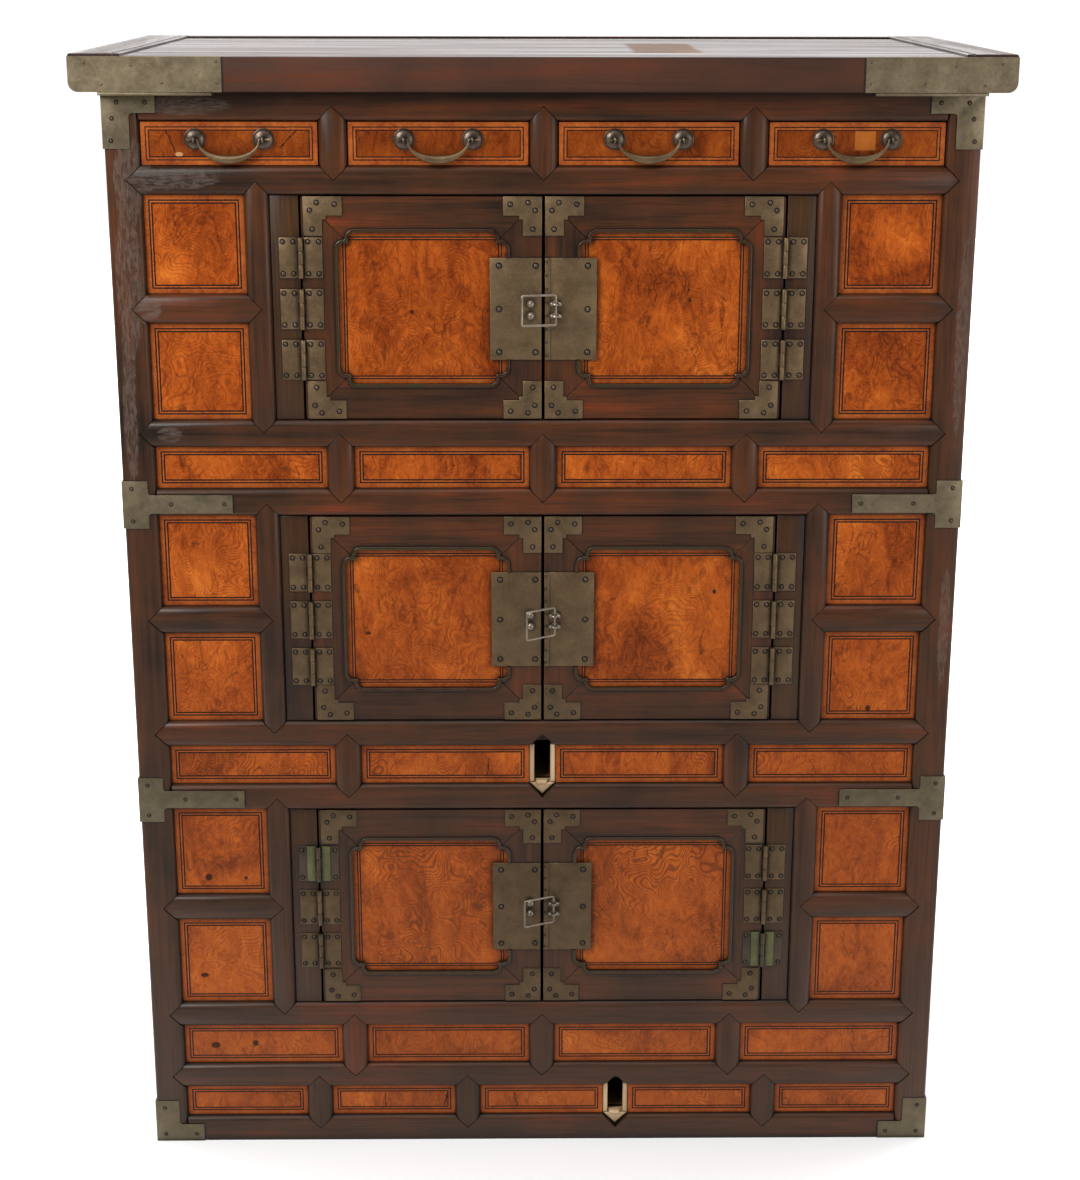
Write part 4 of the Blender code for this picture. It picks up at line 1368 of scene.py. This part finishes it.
@dataclass
class PostBrass:
    """Angles and tees on the front posts, wrapped round the corner."""

    finishes: Finishes
    nails: Nails
    leg: float = 0.031
    back: float = 0.040
    crook: float = 0.004
    ease: float = 0.0005

    def plate(self, name: str, sign: int, post: Span, reach: float, arm: Span, places: Places) -> None:
        """Lay one plate.

        Args:
            name: Name of the piece.
            sign: Side of the chest.
            post: Heights of the leg on the post.
            reach: How far the arm runs in from the outer edge.
            arm: Heights of the arm on the rail.
            places: Nails, as distance inwards and height.
        """
        y, out = deep(-PLATE, 0.0), HALF + PLATE
        tip, inner = sign * (out - reach), sign * (out - self.leg)
        face = Piece.block("face", span(sign * out, tip), y, post)
        ends = [(at, end) for at, end in ((arm[1], post[1] + PAST), (arm[0], post[0] - PAST)) if at not in post]
        for at, end in ends:
            face.less(Piece.block("corner", span(inner, tip - sign * PAST), inset(y, -PAST), span(at, end)))
        crooks = [lying(x=inner, z=at) for at, _ in ends]
        face.bevel(lambda e: any(crook(e) for crook in crooks), self.crook, 4).bevel(lying(y=y[0]), self.ease)
        side = Piece.block("side", span(sign * HALF, sign * out), deep(FINE - PLATE, self.back), post)
        side.bevel(lying(x=sign * out), FINE)
        Piece.joined(name, [face, side]).soft(METAL_EDGE).wear(self.finishes.brass).fit(CARCASS, BRASS)
        heads = [(sign * (out - inward), height) for inward, height in places]
        self.nails.drive(f"{name}_nails", heads, y[0], CARCASS, 0.8)

    def make(self) -> None:
        """Lay all eight plates."""
        top, low = HEIGHT - GAP, LEVEL["base_rail"][0] + GAP
        for side, sign in SIDES:
            nails = [(0.010, top - 0.055), (0.018, top - 0.012), (0.050, top - 0.012), (0.012, top - 0.030)]
            self.plate(f"{side}_top_angle", sign, (top - 0.064, top), 0.061, (top - 0.024, top), nails)
            for head in ("middle_head", "lower_head"):
                mid = middle(LEVEL[head])
                post, arm = (mid - 0.031, mid + 0.027), (mid - 0.0125, mid + 0.010)
                nails = [(0.058, mid - 0.001), (0.121, mid - 0.001), (0.012, mid + 0.018), (0.012, mid - 0.022)]
                self.plate(f"{side}_{head}_tee", sign, post, 0.131, arm, nails)
            nails = [(0.012, low + 0.048), (0.012, low + 0.010), (0.052, low + 0.010)]
            self.plate(f"{side}_foot_angle", sign, (low, low + 0.058), 0.062, (low, low + 0.024), nails)


@dataclass
class Hinges:
    """Butt hinges of one tier: plates, knuckles and nails."""

    finishes: Finishes
    nails: Nails
    tier: str
    wide: float = 0.025
    tall: float = 0.047
    pitch: float = 0.0595
    near: float = 0.0036
    knuckle: float = 0.003
    proud: float = 0.0036
    narrow: float = 0.0145  # width of a newer leaf
    lift: float = 0.0010  # how far a newer leaf lies on the old one
    columns: tuple[float, float] = (0.0085, 0.0208)
    rise: float = 0.0185
    renewed: tuple[tuple[str, str, int], ...] = (("lower", "left", 1), ("lower", "right", -1))

    def leaf(self, way: int, thirds: Sequence[int], wide: float, lift: float) -> Piece:
        """One leaf at the origin.

        Args:
            way: Side of the axis on which its plate lies.
            thirds: Which of the three knuckles it carries.
            wide: How far the plate reaches.
            lift: How far it lies in front of the old leaf.

        Returns:
            The leaf.
        """
        y, axis = deep(DOOR_SET - PLATE - lift, DOOR_SET - lift), FACE_Y + DOOR_SET - self.proud
        pieces = [Piece.block("plate", span(way * self.near, way * wide), y, about(0.0, self.tall), FINE)]
        for third in thirds:
            z = inset(((third - 1.5) * self.tall / 3, (third - 0.5) * self.tall / 3), GAP / 2)
            barrel = Piece.rod("barrel", (0, axis, z[0]), (0, axis, z[1]), self.knuckle - lift / 4, 18)
            pieces.append(barrel.bevel(lambda e: abs(e.verts[0].co.z - e.verts[1].co.z) < NEAR, FINE))
            pieces.append(Piece.block("tab", span(0, way * (self.near + 0.001)), inset(y, SNUG / 2), z))
        return Piece.joined("leaf", pieces).soft(METAL_EDGE)

    def pair(self, side: str, sign: int, wide: float, lift: float) -> dict[str, tuple[str, Piece]]:
        """The jamb's leaf and the door's, at the origin, each with its body.

        Args:
            side: Side of the chest.
            sign: The same as a sign.
            wide: How far the plates reach.
            lift: How far they lie in front of the old ones.

        Returns:
            Body and leaf by label.
        """
        return {
            "jamb": (CARCASS, self.leaf(sign, (0, 2), wide, lift)),
            "door": (f"{self.tier}_{side}_door", self.leaf(-sign, (1,), wide, lift)),
        }

    def make(self) -> dict[str, list[tuple[float, float]]]:
        """Hang both doors of the tier.

        Returns:
            Nail places on each moving side, for the door to drive.
        """
        mid = middle(LEVEL[f"{self.tier}_doors"])
        moving: dict[str, list[tuple[float, float]]] = {}
        for side, sign in SIDES:
            old, new = self.pair(side, sign, self.wide, 0.0), self.pair(side, sign, self.narrow, self.lift)
            jamb_nails, moving[side] = [], []
            for k in (-1, 0, 1):
                height = mid + k * self.pitch
                place, tag = moved(sign * JAMB_IN, 0, height), f"{self.tier}_{side}_hinge_{k + 2}"
                renewed = (self.tier, side, k) in self.renewed
                layers = [("", old, self.finishes.domes if renewed else self.finishes.plate)]
                layers += [("new_", new, self.finishes.green)] if renewed else []
                for prefix, leaves, brass in layers:
                    for label, (body, leaf) in leaves.items():
                        leaf.copy(f"{tag}_{prefix}{label}_leaf", place).wear(brass).fit(body, BRASS)
                for out in self.columns[renewed:]:
                    for z in (height - self.rise, height + self.rise):
                        jamb_nails.append((sign * (JAMB_IN + out), z))
                        moving[side].append((sign * (JAMB_IN - out), z))
            for _, leaf in (*old.values(), *new.values()):
                leaf.discard()
            self.nails.drive(f"{self.tier}_{side}_jamb_nails", jamb_nails, FACE_Y + DOOR_SET - PLATE, CARCASS)
        return moving


@dataclass
class Doors:
    """The pair of doors of one tier, with their jambs, locks and hasp."""

    finishes: Finishes
    nails: Nails
    tier: str
    thick: float = 0.020
    frame: float = 0.037
    bead: float = 0.0044
    proud: float = 0.0024
    step: float = 0.0120
    sunk: float = 0.0043
    lapped: float = 0.0333  # how far in the panel's edge lies, under the frame
    corner: float = 0.045
    arm: float = 0.022
    lock: tuple[float, float] = (0.060, 0.119)
    strip: tuple[float, float] = (0.0062, 0.0007)
    eye: float = 0.0145
    spread: float = 0.007
    reach: float = 0.007
    collar: Span = (0.0036, 0.0012)  # radius and height
    shank: float = 0.0018
    ring: Span = (0.0035, 0.0015)  # radius and wire
    knob: Span = (0.0027, 0.0047)  # radius and distance from the ring's middle
    ball: tuple[float, float, float] = (0.0046, 0.85, 0.005)  # radius, depth as a share and height
    wire: float = 0.0015
    loop: tuple[float, float] = (0.040, 0.035)
    meeting: float = 0.0017
    bared: float = 0.0036  # from the hinge axis to the corner plates
    veneers: tuple[float, ...] = (0.008, 0.0130, 0.0016, 0.0013)  # thickness, band, string and the gap between
    spots: Places = ((0.016, 0.007), (0.0365, 0.009), (0.0080, 0.016), (0.0105, 0.0375))  # nails of a corner plate

    def __post_init__(self) -> None:
        """Work out the right door's spans."""
        self.opening = LEVEL[f"{self.tier}_doors"]
        self.x, self.z = (self.meeting, JAMB_IN - DOOR_CLEAR), inset(self.opening, DOOR_CLEAR)
        self.mid = middle(self.opening)
        self.wood = FACE_Y + DOOR_SET
        self.face = self.wood - GAP - PLATE
        self.rest = {"upper": 10.0, "middle": 32.0, "lower": 24.0}[self.tier]  # degrees that the hasp stands out

    def outline(self, name: str, edge: float, y: float) -> Piece:
        """The notched sight outline as one flat face.

        Args:
            name: Name of the piece.
            edge: Distance in from the door's edge.
            y: World y of the face.

        Returns:
            The face.
        """
        x, z = inset(self.x, edge), inset(self.z, edge)
        sides = ((Along.X, x), (Along.Z, z))
        face = Piece.sheet(name, x, y, z, 3)
        for along, pair in sides:
            third = (pair[1] - pair[0]) / 3
            face.spread(along, (pair[0] + third, pair[0] + self.step), (pair[1] - third, pair[1] - self.step))
        inner = [(along.value, inset(pair, self.step + NEAR)) for along, pair in sides]
        face.drop(lambda f: not any(pair[0] < f.calc_center_median()[axis] < pair[1] for axis, pair in inner))
        with face.picked(Pick.FACE, anything):
            bpy.ops.mesh.dissolve_faces()

        def rim(corner: Any) -> bool:
            """Whether a corner lies on the outermost lines."""
            return any(abs(corner.co[along.value] - end) < NEAR for along, pair in sides for end in pair)

        return face.bevel(rim, self.step * 0.96, 6, Pick.VERT)

    def members(self) -> list[Piece]:
        """Four mitred members round the notched opening.

        Returns:
            The right door's members.
        """
        y, wide = deep(DOOR_SET, DOOR_SET + self.thick), self.frame + self.step + 0.004
        (left, right), (low, high) = self.x, self.z
        made = []
        for name, x, z, out in (
            ("top_member", self.x, (high - wide, high), (0, 1)),
            ("foot_member", self.x, (low, low + wide), (0, -1)),
            ("hinge_member", (right - wide, right), self.z, (1, 0)),
            ("meeting_member", (left, left + wide), self.z, (-1, 0)),
        ):
            piece = Piece.block(name, x, y, z)
            for way in (-1, 1):
                across, up = (way, out[1]) if out[1] else (out[0], way)
                normal = Vector((way, 0, -up) if out[1] else (-across, 0, way))
                corner = Vector((right if across > 0 else left, 0, high if up > 0 else low))
                piece.cut(corner - 0.0001 * normal, normal)
            hole = self.outline("hole", self.frame + self.bead / 2, y[0] - PAST).push(0.05)
            made.append(piece.less(hole).bevel(lying(y=y[0]), FINE, 1).soft(30))
        return made

    def make_bead(self) -> Piece:
        """Thin raised bead along the notched outline, cut away under the lock plate.

        Returns:
            The right door's bead.
        """
        back, front = self.wood + self.sunk, self.wood - self.proud
        ring = self.outline("bead", self.frame, back)
        ring.rings(anything, (self.bead, 1)).drop(lambda f: f.material_index == 1)
        ring.push(front - back).bevel(lying(y=front), 0.0014, 3)
        wide, tall = self.lock
        under = (-0.02, wide + 0.0012), deep(-0.03, DOOR_SET + 0.0005), about(self.mid, tall + 0.001)
        return ring.less(Piece.block("clear", *under)).soft(METAL_EDGE)

    def make_angle(self) -> Piece:
        """One stepped corner plate at the origin, running right and up.

        Returns:
            The plate.
        """
        size, third, step = (0.0, self.corner), self.corner / 3, self.arm * 0.2
        plate = Piece.sheet("angle", size, self.wood, size, 3)
        for along in (Along.X, Along.Z):
            plate.spread(along, (2 * third, self.arm + step), (third, self.arm))
        edge = self.arm + step / 2

        def outside(face: Any) -> bool:
            """Whether a cell lies beyond both arms and isn't the step between them."""
            x, _, z = face.calc_center_median()
            return min(x, z) > edge - step and not (abs(x - edge) < NEAR and abs(z - edge) < NEAR)

        def rim(line: Any) -> bool:
            """Whether a front edge bounds the plate."""
            sides = [face.normal for face in line.link_faces]
            return lying(y=self.wood - PLATE)(line) and len(sides) == 2 and abs(sides[0].dot(sides[1])) < 0.5

        return plate.drop(outside).push(-PLATE).bevel(rim, FINE).soft(METAL_EDGE)

    def make_lock(self, tag: str, sign: int) -> Piece:
        """Lock plate with ball posts on the left, or a strip and beaded ring eyes on the right.

        Args:
            tag: Tier and side.
            sign: The side as a sign.

        Returns:
            The lock.
        """
        edge, z = self.x[0] + GAP, about(self.mid, self.lock[1])
        x, (wide, proud) = span(sign * edge, sign * (edge + self.lock[0])), self.strip
        pieces = [Piece.block("lock", x, (self.face, self.face + PLATE), z, 0.0005)]
        if sign > 0:
            y = (self.face - proud, self.face + SNUG)
            pieces.append(Piece.block("strip", (x[0], x[0] + wide), y, z, 0.0003))
        plate = Piece.joined("plate", pieces).wear(self.finishes.plate)
        at, foot, pieces = sign * self.eye, self.face + PLATE / 2, []
        collar, eye, (ball, flat, height) = self.face - self.collar[1], self.face - self.reach, self.ball
        tip = eye + self.ring[0] if sign > 0 else self.face - height
        for z in (self.mid - self.spread, self.mid + self.spread):
            base = Piece.rod("collar", (at, foot, z), (at, collar, z), self.collar[0], 18)
            pieces.append(base.bevel(lying(y=collar), 0.0006))
            pieces.append(Piece.rod("shank", (at, foot, z), (at, tip, z), self.shank, 12))
            if sign > 0:
                pieces.append(Piece.hoop("eye", (at, eye, z), Along.Z, *self.ring))
                for x in (at - self.knob[1], at + self.knob[1]):
                    pieces.append(Piece.ball("knob", (x, eye, z), self.knob[0], 1.0, 14))
            else:
                pieces.append(Piece.ball("ball", (at, tip, z), ball, flat, 20))
        posts = Piece.joined("posts", pieces).wear(self.finishes.bright)
        return Piece.joined(f"{tag}_lock", [plate, posts]).soft(METAL_EDGE)

    def nail_lock(self, tag: str, sign: int, body: str) -> None:
        """Nails round a lock plate, with a row of pins down the right one's strip.

        Args:
            tag: Tier and side.
            sign: The side as a sign.
            body: The door's body.
        """
        low, high = inset(about(self.mid, self.lock[1]), 0.009)
        places = [(0.0515, low), (0.0515, self.mid), (0.0515, high)]
        places += [(0.009, low), (0.009, high)] if sign < 0 else []
        self.nails.drive(f"{tag}_lock_nails", [(sign * x, z) for x, z in places], self.face, body, 1.15)
        if sign > 0:
            row = [(0.0038, self.mid + self.lock[1] * (k / 7 - 0.5) * 0.92) for k in range(8)]
            self.nails.drive(f"{tag}_strip_pins", row, self.face - self.strip[1], body, 0.5)

    def make_hasp(self) -> None:
        """Square wire loop turned out from the locks."""
        long, tall = self.loop
        loop = Piece.sheet("loop", (-long, 0.0), 0.0, about(0.0, tall))
        loop.bevel(anything, 0.0020, 3, Pick.VERT).drop(anything, "ONLY_FACE")
        wire = loop.convert("CURVE")
        wire.obj.data.bevel_depth, wire.obj.data.bevel_resolution = self.wire, 3
        hasp = wire.convert("MESH").right()
        place = moved(self.eye, self.face - self.reach, self.mid)
        hasp.obj.data.transform(place @ Matrix.Rotation(radians(self.rest), 4, "Z"))
        name = f"{self.tier}_hasp"
        hasp.obj.name = f"{name}_loop"
        hasp.soft(ROUND_EDGE).wear(self.finishes.bright).fit(name, BRASS, name)

    def make_angles(self, angle: Piece, tag: str, turn: Matrix, body: str) -> list[tuple[float, float]]:
        """Lay the four corner plates of a door.

        Args:
            angle: The plate at the origin.
            tag: Tier and side.
            turn: Takes the right door to this one.
            body: The door's body.

        Returns:
            Where their nails go.
        """
        places = []
        for edge, x, way in (("hinge", JAMB_IN - self.bared, -1), ("meeting", self.x[0], 1)):
            for end, z, up in (("foot", self.z[0], 1), ("head", self.z[1], -1)):
                place = turn @ moved(x, 0, z) @ Matrix.Diagonal((way, 1, up, 1))
                angle.copy(f"{tag}_{edge}_{end}_angle", place).wear(self.finishes.plate).fit(body, BRASS)
                nails = [place @ Vector((u, 0, v)) for u, v in self.spots]
                places += [(nail.x, nail.z) for nail in nails]
        return places

    def make(self, hinge_nails: dict[str, list[tuple[float, float]]]) -> None:
        """Build both doors, their jambs and the hasp.

        Args:
            hinge_nails: Nail places in the hinge leaves of each door.
        """
        members, bead, angle = self.members(), self.make_bead(), self.make_angle()
        burl = self.finishes.contour if self.tier == "lower" else self.finishes.panel
        for side, sign in SIDES:
            tag, turn = f"{self.tier}_{side}", Matrix.Identity(4) if sign > 0 else MIRROR
            body = f"{tag}_door"
            for piece in members:
                level = piece.obj.name.startswith(("top", "foot"))
                wood = piece.copy(f"{tag}_{piece.obj.name}", turn)
                wood.wear(self.finishes.rail if level else self.finishes.post).fit(body, WOOD, f"{tag}_door_frame")
            bead.copy(f"{tag}_door_bead", turn).wear(self.finishes.bead).fit(body, WOOD)
            x, z = span(*(sign * v for v in inset(self.x, self.lapped))), inset(self.z, self.lapped)
            panel = Field(f"{tag}_burl_panel", x, z, DOOR_SET + self.sunk, *self.veneers)
            panel.make(self.finishes, burl).fit(body, BURL, f"{tag}_door_panel")
            places = hinge_nails[side] + self.make_angles(angle, tag, turn, body)
            self.nails.drive(f"{tag}_door_nails", places, self.wood - PLATE, body)
            self.make_lock(tag, sign).fit(body, BRASS, f"{tag}_lock_plate")
            self.nail_lock(tag, sign, body)
            jamb_x, y = span(sign * (JAMB_IN + DOOR_CLEAR), sign * STILE_IN), deep(DOOR_SET, 0.028)
            jamb = Piece.block(f"{tag}_jamb", jamb_x, y, inset(self.opening, GAP), 0.0008)
            jamb.soft(METAL_EDGE).wear(self.finishes.jamb).fit(CARCASS, WOOD, f"{tag}_bay")
        for spare in (*members, bead, angle):
            spare.discard()
        self.make_hasp()


def dress(node: str, material: Material) -> None:
    """Give a kept CAD node a finish."""
    for slot in frame["nodes"][node].material_slots:
        slot.material = material


@dataclass
class Drawers:
    """Four drawers: burl fronts, domed rosettes and crescent bails."""

    finishes: Finishes
    set_back: float = 0.006
    clear: float = 0.001
    veneers: tuple[float, ...] = (0.014, 0.0050, 0.0013, 0.0022)  # thickness, band, string and the gap between
    spread: float = 0.039
    rise: float = 0.005
    out: float = 0.0085
    dome: Span = (0.0117, 0.0055)  # radius and height
    rim: float = 0.0006
    eye: Span = (0.0032, 0.0014)  # radius and wire
    shank: float = 0.0016
    drop: float = 0.0225
    thin: float = 0.0013
    swell: float = 0.0036
    bends: int = 12

    def rosette(self) -> Piece:
        """A dome on a rim, with the cotter eye that holds the bail, at the origin.

        Returns:
            The rosette.
        """
        (radius, height), face = self.dome, FACE_Y + self.set_back
        back, front, axis = face + 0.0004, face - 0.0008, face - self.out
        dome = Piece.ball("dome", (0, face, 0), radius, height / radius, 28).cut((0, back, 0), (0, 1, 0))
        rim = Piece.rod("rim", (0, back, 0), (0, front, 0), radius + self.rim, 28).bevel(lying(y=front), 0.0005)
        eye = Piece.hoop("eye", (0, axis, 0), Along.X, *self.eye)
        shank = Piece.rod("shank", (0, face - 0.003, 0), (0, axis + 0.0028, 0), self.shank, 10)
        return Piece.joined("rosette", [dome, rim, eye, shank]).soft(METAL_EDGE)

    def bail(self) -> Piece:
        """A crescent, thick in its middle, whose thin ends turn in the eyes and finish in small knobs.

        Returns:
            The bail.
        """
        start = self.spread - 0.004
        ends = ((0.0085, 0.0021), (0.0065, 0.0020), (0.0045, 0.0012), (0.0, 0.0012), (-0.004, self.thin))
        half = [(-self.spread - beyond, 0.0, radius) for beyond, radius in ends]
        for k in range(1, self.bends + 1):
            turn = pi / 2 * k / self.bends
            half.append((-start * cos(turn), -self.drop * sin(turn), self.thin + self.swell * sin(turn) ** 3))
        whole = half + [(-x, z, r) for x, z, r in half[-2::-1]]
        curve = bpy.data.curves.new("bail", "CURVE")
        curve.dimensions, curve.bevel_depth, curve.bevel_resolution, curve.use_fill_caps = "3D", 1.0, 3, True
        line = curve.splines.new("POLY")
        line.points.add(len(whole) - 1)
        for point, (x, z, radius) in zip(line.points, whole):
            point.co, point.radius = (x, 0.0, z, 1.0), radius
        bail = Piece.linked("bail", curve).convert("MESH").right()
        bail.obj.data.transform(Matrix.Scale(0.62, 4, (0, 1, 0)))
        return bail.soft(50)

    def make(self) -> None:
        """Build the four drawers."""
        rosette, bail = self.rosette(), self.bail()
        low, high = LEVEL["drawer_row"]
        z = (low + GAP, high - self.clear)
        height = middle(z) + self.rise
        for k, pair in enumerate(bays(THIRDS), 1):
            x, name = inset(pair, self.clear), f"drawer_{k}"
            front = Field(f"{name}_burl_front", x, z, self.set_back, *self.veneers)
            front.make(self.finishes, self.finishes.front).fit(name, BURL, f"{name}_front")
            for side, sign in SIDES:
                place = moved(middle(x) + sign * self.spread, 0, height)
                rosette.copy(f"{name}_{side}_rosette", place).wear(self.finishes.domes).fit(name, BRASS)
            pull = bail.copy(f"{name}_crescent", moved(middle(x), FACE_Y + self.set_back - self.out, height))
            pull.wear(self.finishes.plate).fit(f"{name}_bail", BRASS, f"{name}_bail")
            dress(f"{name}_box", self.finishes.box)
        rosette.discard()
        bail.discard()


@dataclass
class Slab:
    """The top: a board between two raised end boards, with strapped front corners."""

    finishes: Finishes
    nails: Nails
    seam: float = 0.471
    out: float = 0.529
    tall: float = 0.039
    lip: float = 0.003
    depth: Span = (-0.028, 0.515)
    rounding: float = 0.011
    rim: float = 0.024
    groove: Span = (0.0075, 0.0100)  # from the seam
    scored: float = 0.0014  # depth of the groove
    sheet: float = 0.0010  # how far the straps stand out at the sides
    bent: float = 0.110  # how far they reach back
    ease: float = 0.0003
    heads: Places = (
        (0.018, 0.0075), (0.036, 0.031), (0.103, 0.029), (0.1645, 0.006), (0.1645, 0.029), (0.070, 0.010)
    )  # nails, in from the end and down

    def make(self) -> None:
        """Build the boards and nail the straps."""
        y, low = deep(*self.depth), HEIGHT + GAP
        high = low + self.tall
        crest, x = high + self.lip, inset((-self.seam, self.seam), GAP)
        board = Piece.block("slab_board", x, y, (low, high), 0.0022, 3).soft(METAL_EDGE)
        board.wear(self.finishes.top).fit(CARCASS, WOOD, "top_board")
        rim = Piece.block("slab_back_rim", x, (y[1] - self.rim, y[1] - 0.0006), (high - 0.001, crest))
        rim.bevel(lying(z=crest), 0.0008).soft(METAL_EDGE).wear(self.finishes.rail).fit(CARCASS, WOOD)
        for side, sign in SIDES:
            seam, out = sign * self.seam, sign * self.out
            end = Piece.block(f"{side}_slab_end", span(seam, out), y, (low, crest))
            end.bevel(lying(x=out, z=low), self.rounding, 5)
            end.bevel(lying(x=out, z=crest), 0.0025, 3).bevel(lying(x=seam, z=crest), 0.0012)
            x, z = span(*(seam + sign * v for v in self.groove)), (crest - self.scored, crest + PAST)
            end.less(Piece.block("groove", x, inset(y, -PAST), z)).soft(METAL_EDGE)
            end.wear(self.finishes.end).fit(CARCASS, WOOD, f"{side}_end_board")
            self.make_strap(side, sign, (low, high))

    def make_strap(self, side: str, sign: int, z: Span) -> None:
        """Thin brass round one front corner.

        Args:
            side: Name of the side.
            sign: The same as a sign.
            z: Heights of the board's edge.
        """
        y, corner = deep(self.depth[0] - 0.0008, self.depth[0] - SNUG), sign * (self.out + self.sheet)
        low, high = z
        face = Piece.block("face", span(sign * STRAP_END, corner), y, z)
        face.bevel(lying(x=corner, z=low), self.rounding, 6).bevel(lying(y=y[0]), self.ease, 1)
        side_y = (y[0] + SNUG, FACE_Y + self.depth[0] + self.bent)
        flank = Piece.block("side", span(sign * self.out, corner), side_y, (low + self.rounding, high))
        flank.bevel(lying(x=corner), self.ease, 1)
        lip_x = span(sign * (self.out - 0.158), sign * (self.out - self.rounding - 0.020))
        lip = Piece.block("lip", lip_x, (y[0] + FINE, FACE_Y - 0.008), (low - 0.0036, low - SNUG), FINE)
        strap = Piece.joined(f"{side}_strap", [face, flank, lip]).soft(35)
        strap.wear(self.finishes.brass).fit(CARCASS, BRASS, f"{side}_corner_strap")
        heads = [(sign * (self.out - x), high - down) for x, down in self.heads]
        self.nails.drive(f"{side}_strap_nails", heads, y[0] + SNUG, CARCASS, 0.65)


@dataclass(frozen=True)
class Lamp:
    """A soft square lamp aimed at a point."""

    name: str
    place: tuple[float, float, float]
    aim: tuple[float, float, float]
    size: float
    power: float

    def hang(self) -> None:
        """Put the lamp in the scene."""
        light = bpy.data.lights.new(self.name, "AREA")
        light.size, light.energy = self.size, self.power
        obj = Piece.linked(self.name, light).obj
        obj.location = self.place
        obj.rotation_euler = (Vector(self.aim) - Vector(self.place)).to_track_quat("-Z", "Y").to_euler()


@dataclass
class Studio:
    """Pale floor, soft light and the photograph's camera."""

    eye: tuple[float, float, float] = (-0.032, -2.729, 1.484)
    pitch: float = 16.51
    yaw: float = 0.66
    roll: float = 0.1
    lens: float = 71.67
    floor: float = 9.0
    behind: float = 1.10  # strength of the backdrop
    ahead: float = 0.17  # its strength on the camera's side
    lamps: tuple[Lamp, ...] = (
        Lamp("key", (-1.6, -1.9, 2.35), (0, 0, 0.9), 1.2, 66),
        Lamp("fill", (2.2, -2.2, 1.15), (0, 0, 0.9), 1.5, 29),
        Lamp("over", (0, -0.9, 3.0), (0, -0.2, 1.0), 1.6, 14),
        Lamp("back_wash", (0, 4.6, 4.0), (0, 4.4, 0), 8.0, 800),
    )

    def lay_floor(self) -> None:
        """A pale floor that darkens towards the camera: painted shade."""
        shade = Shade("pale_floor")
        cloud = shade.noise(shade.place(), 3.0, 2.0) * 0.04
        # Painted shade: the floor darkens towards the camera.
        lit = shade.axis(Along.Y).ease(-1.0, -0.3)
        shade.tone = shade.ramp(lit + cloud, (0.0, (0.38, 0.38, 0.38)), (1.0, (0.93, 0.93, 0.93)))
        reach = (-self.floor, self.floor)
        floor = Piece.sheet("floor", reach, 0, reach).wear(shade.done(0.7, Specular_IOR_Level=0.1))
        floor.obj.data.transform(Matrix.Rotation(-pi / 2, 4, "X"))

    def light_world(self) -> None:
        """A white backdrop, dim on the camera's side so that it doesn't veil the dark front."""
        world = bpy.data.worlds.new("studio")
        world.use_nodes = True
        tree = world.node_tree
        ground, where = tree.nodes["Background"], tree.nodes.new("ShaderNodeTexCoord")
        toward, level = tree.nodes.new("ShaderNodeVectorMath"), tree.nodes.new("ShaderNodeMapRange")
        ground.inputs[0].default_value = (1.0, 1.0, 1.0, 1.0)
        toward.operation, toward.inputs[1].default_value = "DOT_PRODUCT", (0.0, 1.0, 0.75)
        for socket, value in zip(list(level.inputs)[1:5], (-0.1, 0.5, self.ahead, self.behind)):
            socket.default_value = value
        tree.links.new(where.outputs["Generated"], toward.inputs[0])
        tree.links.new(toward.outputs["Value"], level.inputs[0])
        tree.links.new(level.outputs[0], ground.inputs[1])
        bpy.context.scene.world = world

    def make(self) -> None:
        """Set the stage."""
        self.lay_floor()
        self.light_world()
        for lamp in self.lamps:
            lamp.hang()
        camera = bpy.data.cameras.new("camera")
        camera.sensor_fit, camera.sensor_width, camera.lens = "HORIZONTAL", 36.0, self.lens
        obj = Piece.linked("camera", camera).obj
        aim = Euler((radians(90 - self.pitch), 0, radians(-self.yaw))).to_matrix()
        obj.rotation_euler = (aim @ Matrix.Rotation(radians(self.roll), 3, "Z")).to_euler()
        obj.location = self.eye
        bpy.context.scene.camera = obj
        bpy.context.scene.view_settings.view_transform = "Standard"


def main() -> None:
    """Build the chest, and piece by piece."""
    logging.basicConfig(level=logging.INFO, format="%(message)s")
    Studio().make()
    finishes = Finishes()
    nails = Nails(finishes)
    Front(finishes).make()
    PostBrass(finishes, nails).make()
    for tier in TIERS:
        Doors(finishes, nails, tier).make(Hinges(finishes, nails, tier).make())
    Drawers(finishes).make()
    Slab(finishes, nails).make()
    for node in ("left_back_post", "right_back_post", "left_side_wall", "right_side_wall"):
        dress(node, finishes.side)
    dress("back_panel", finishes.back)
    for node in ("drawer_shelf", "upper_floor", "middle_floor", "bottom_board"):
        dress(node, finishes.inside)


if __name__ == "__main__":
    main()
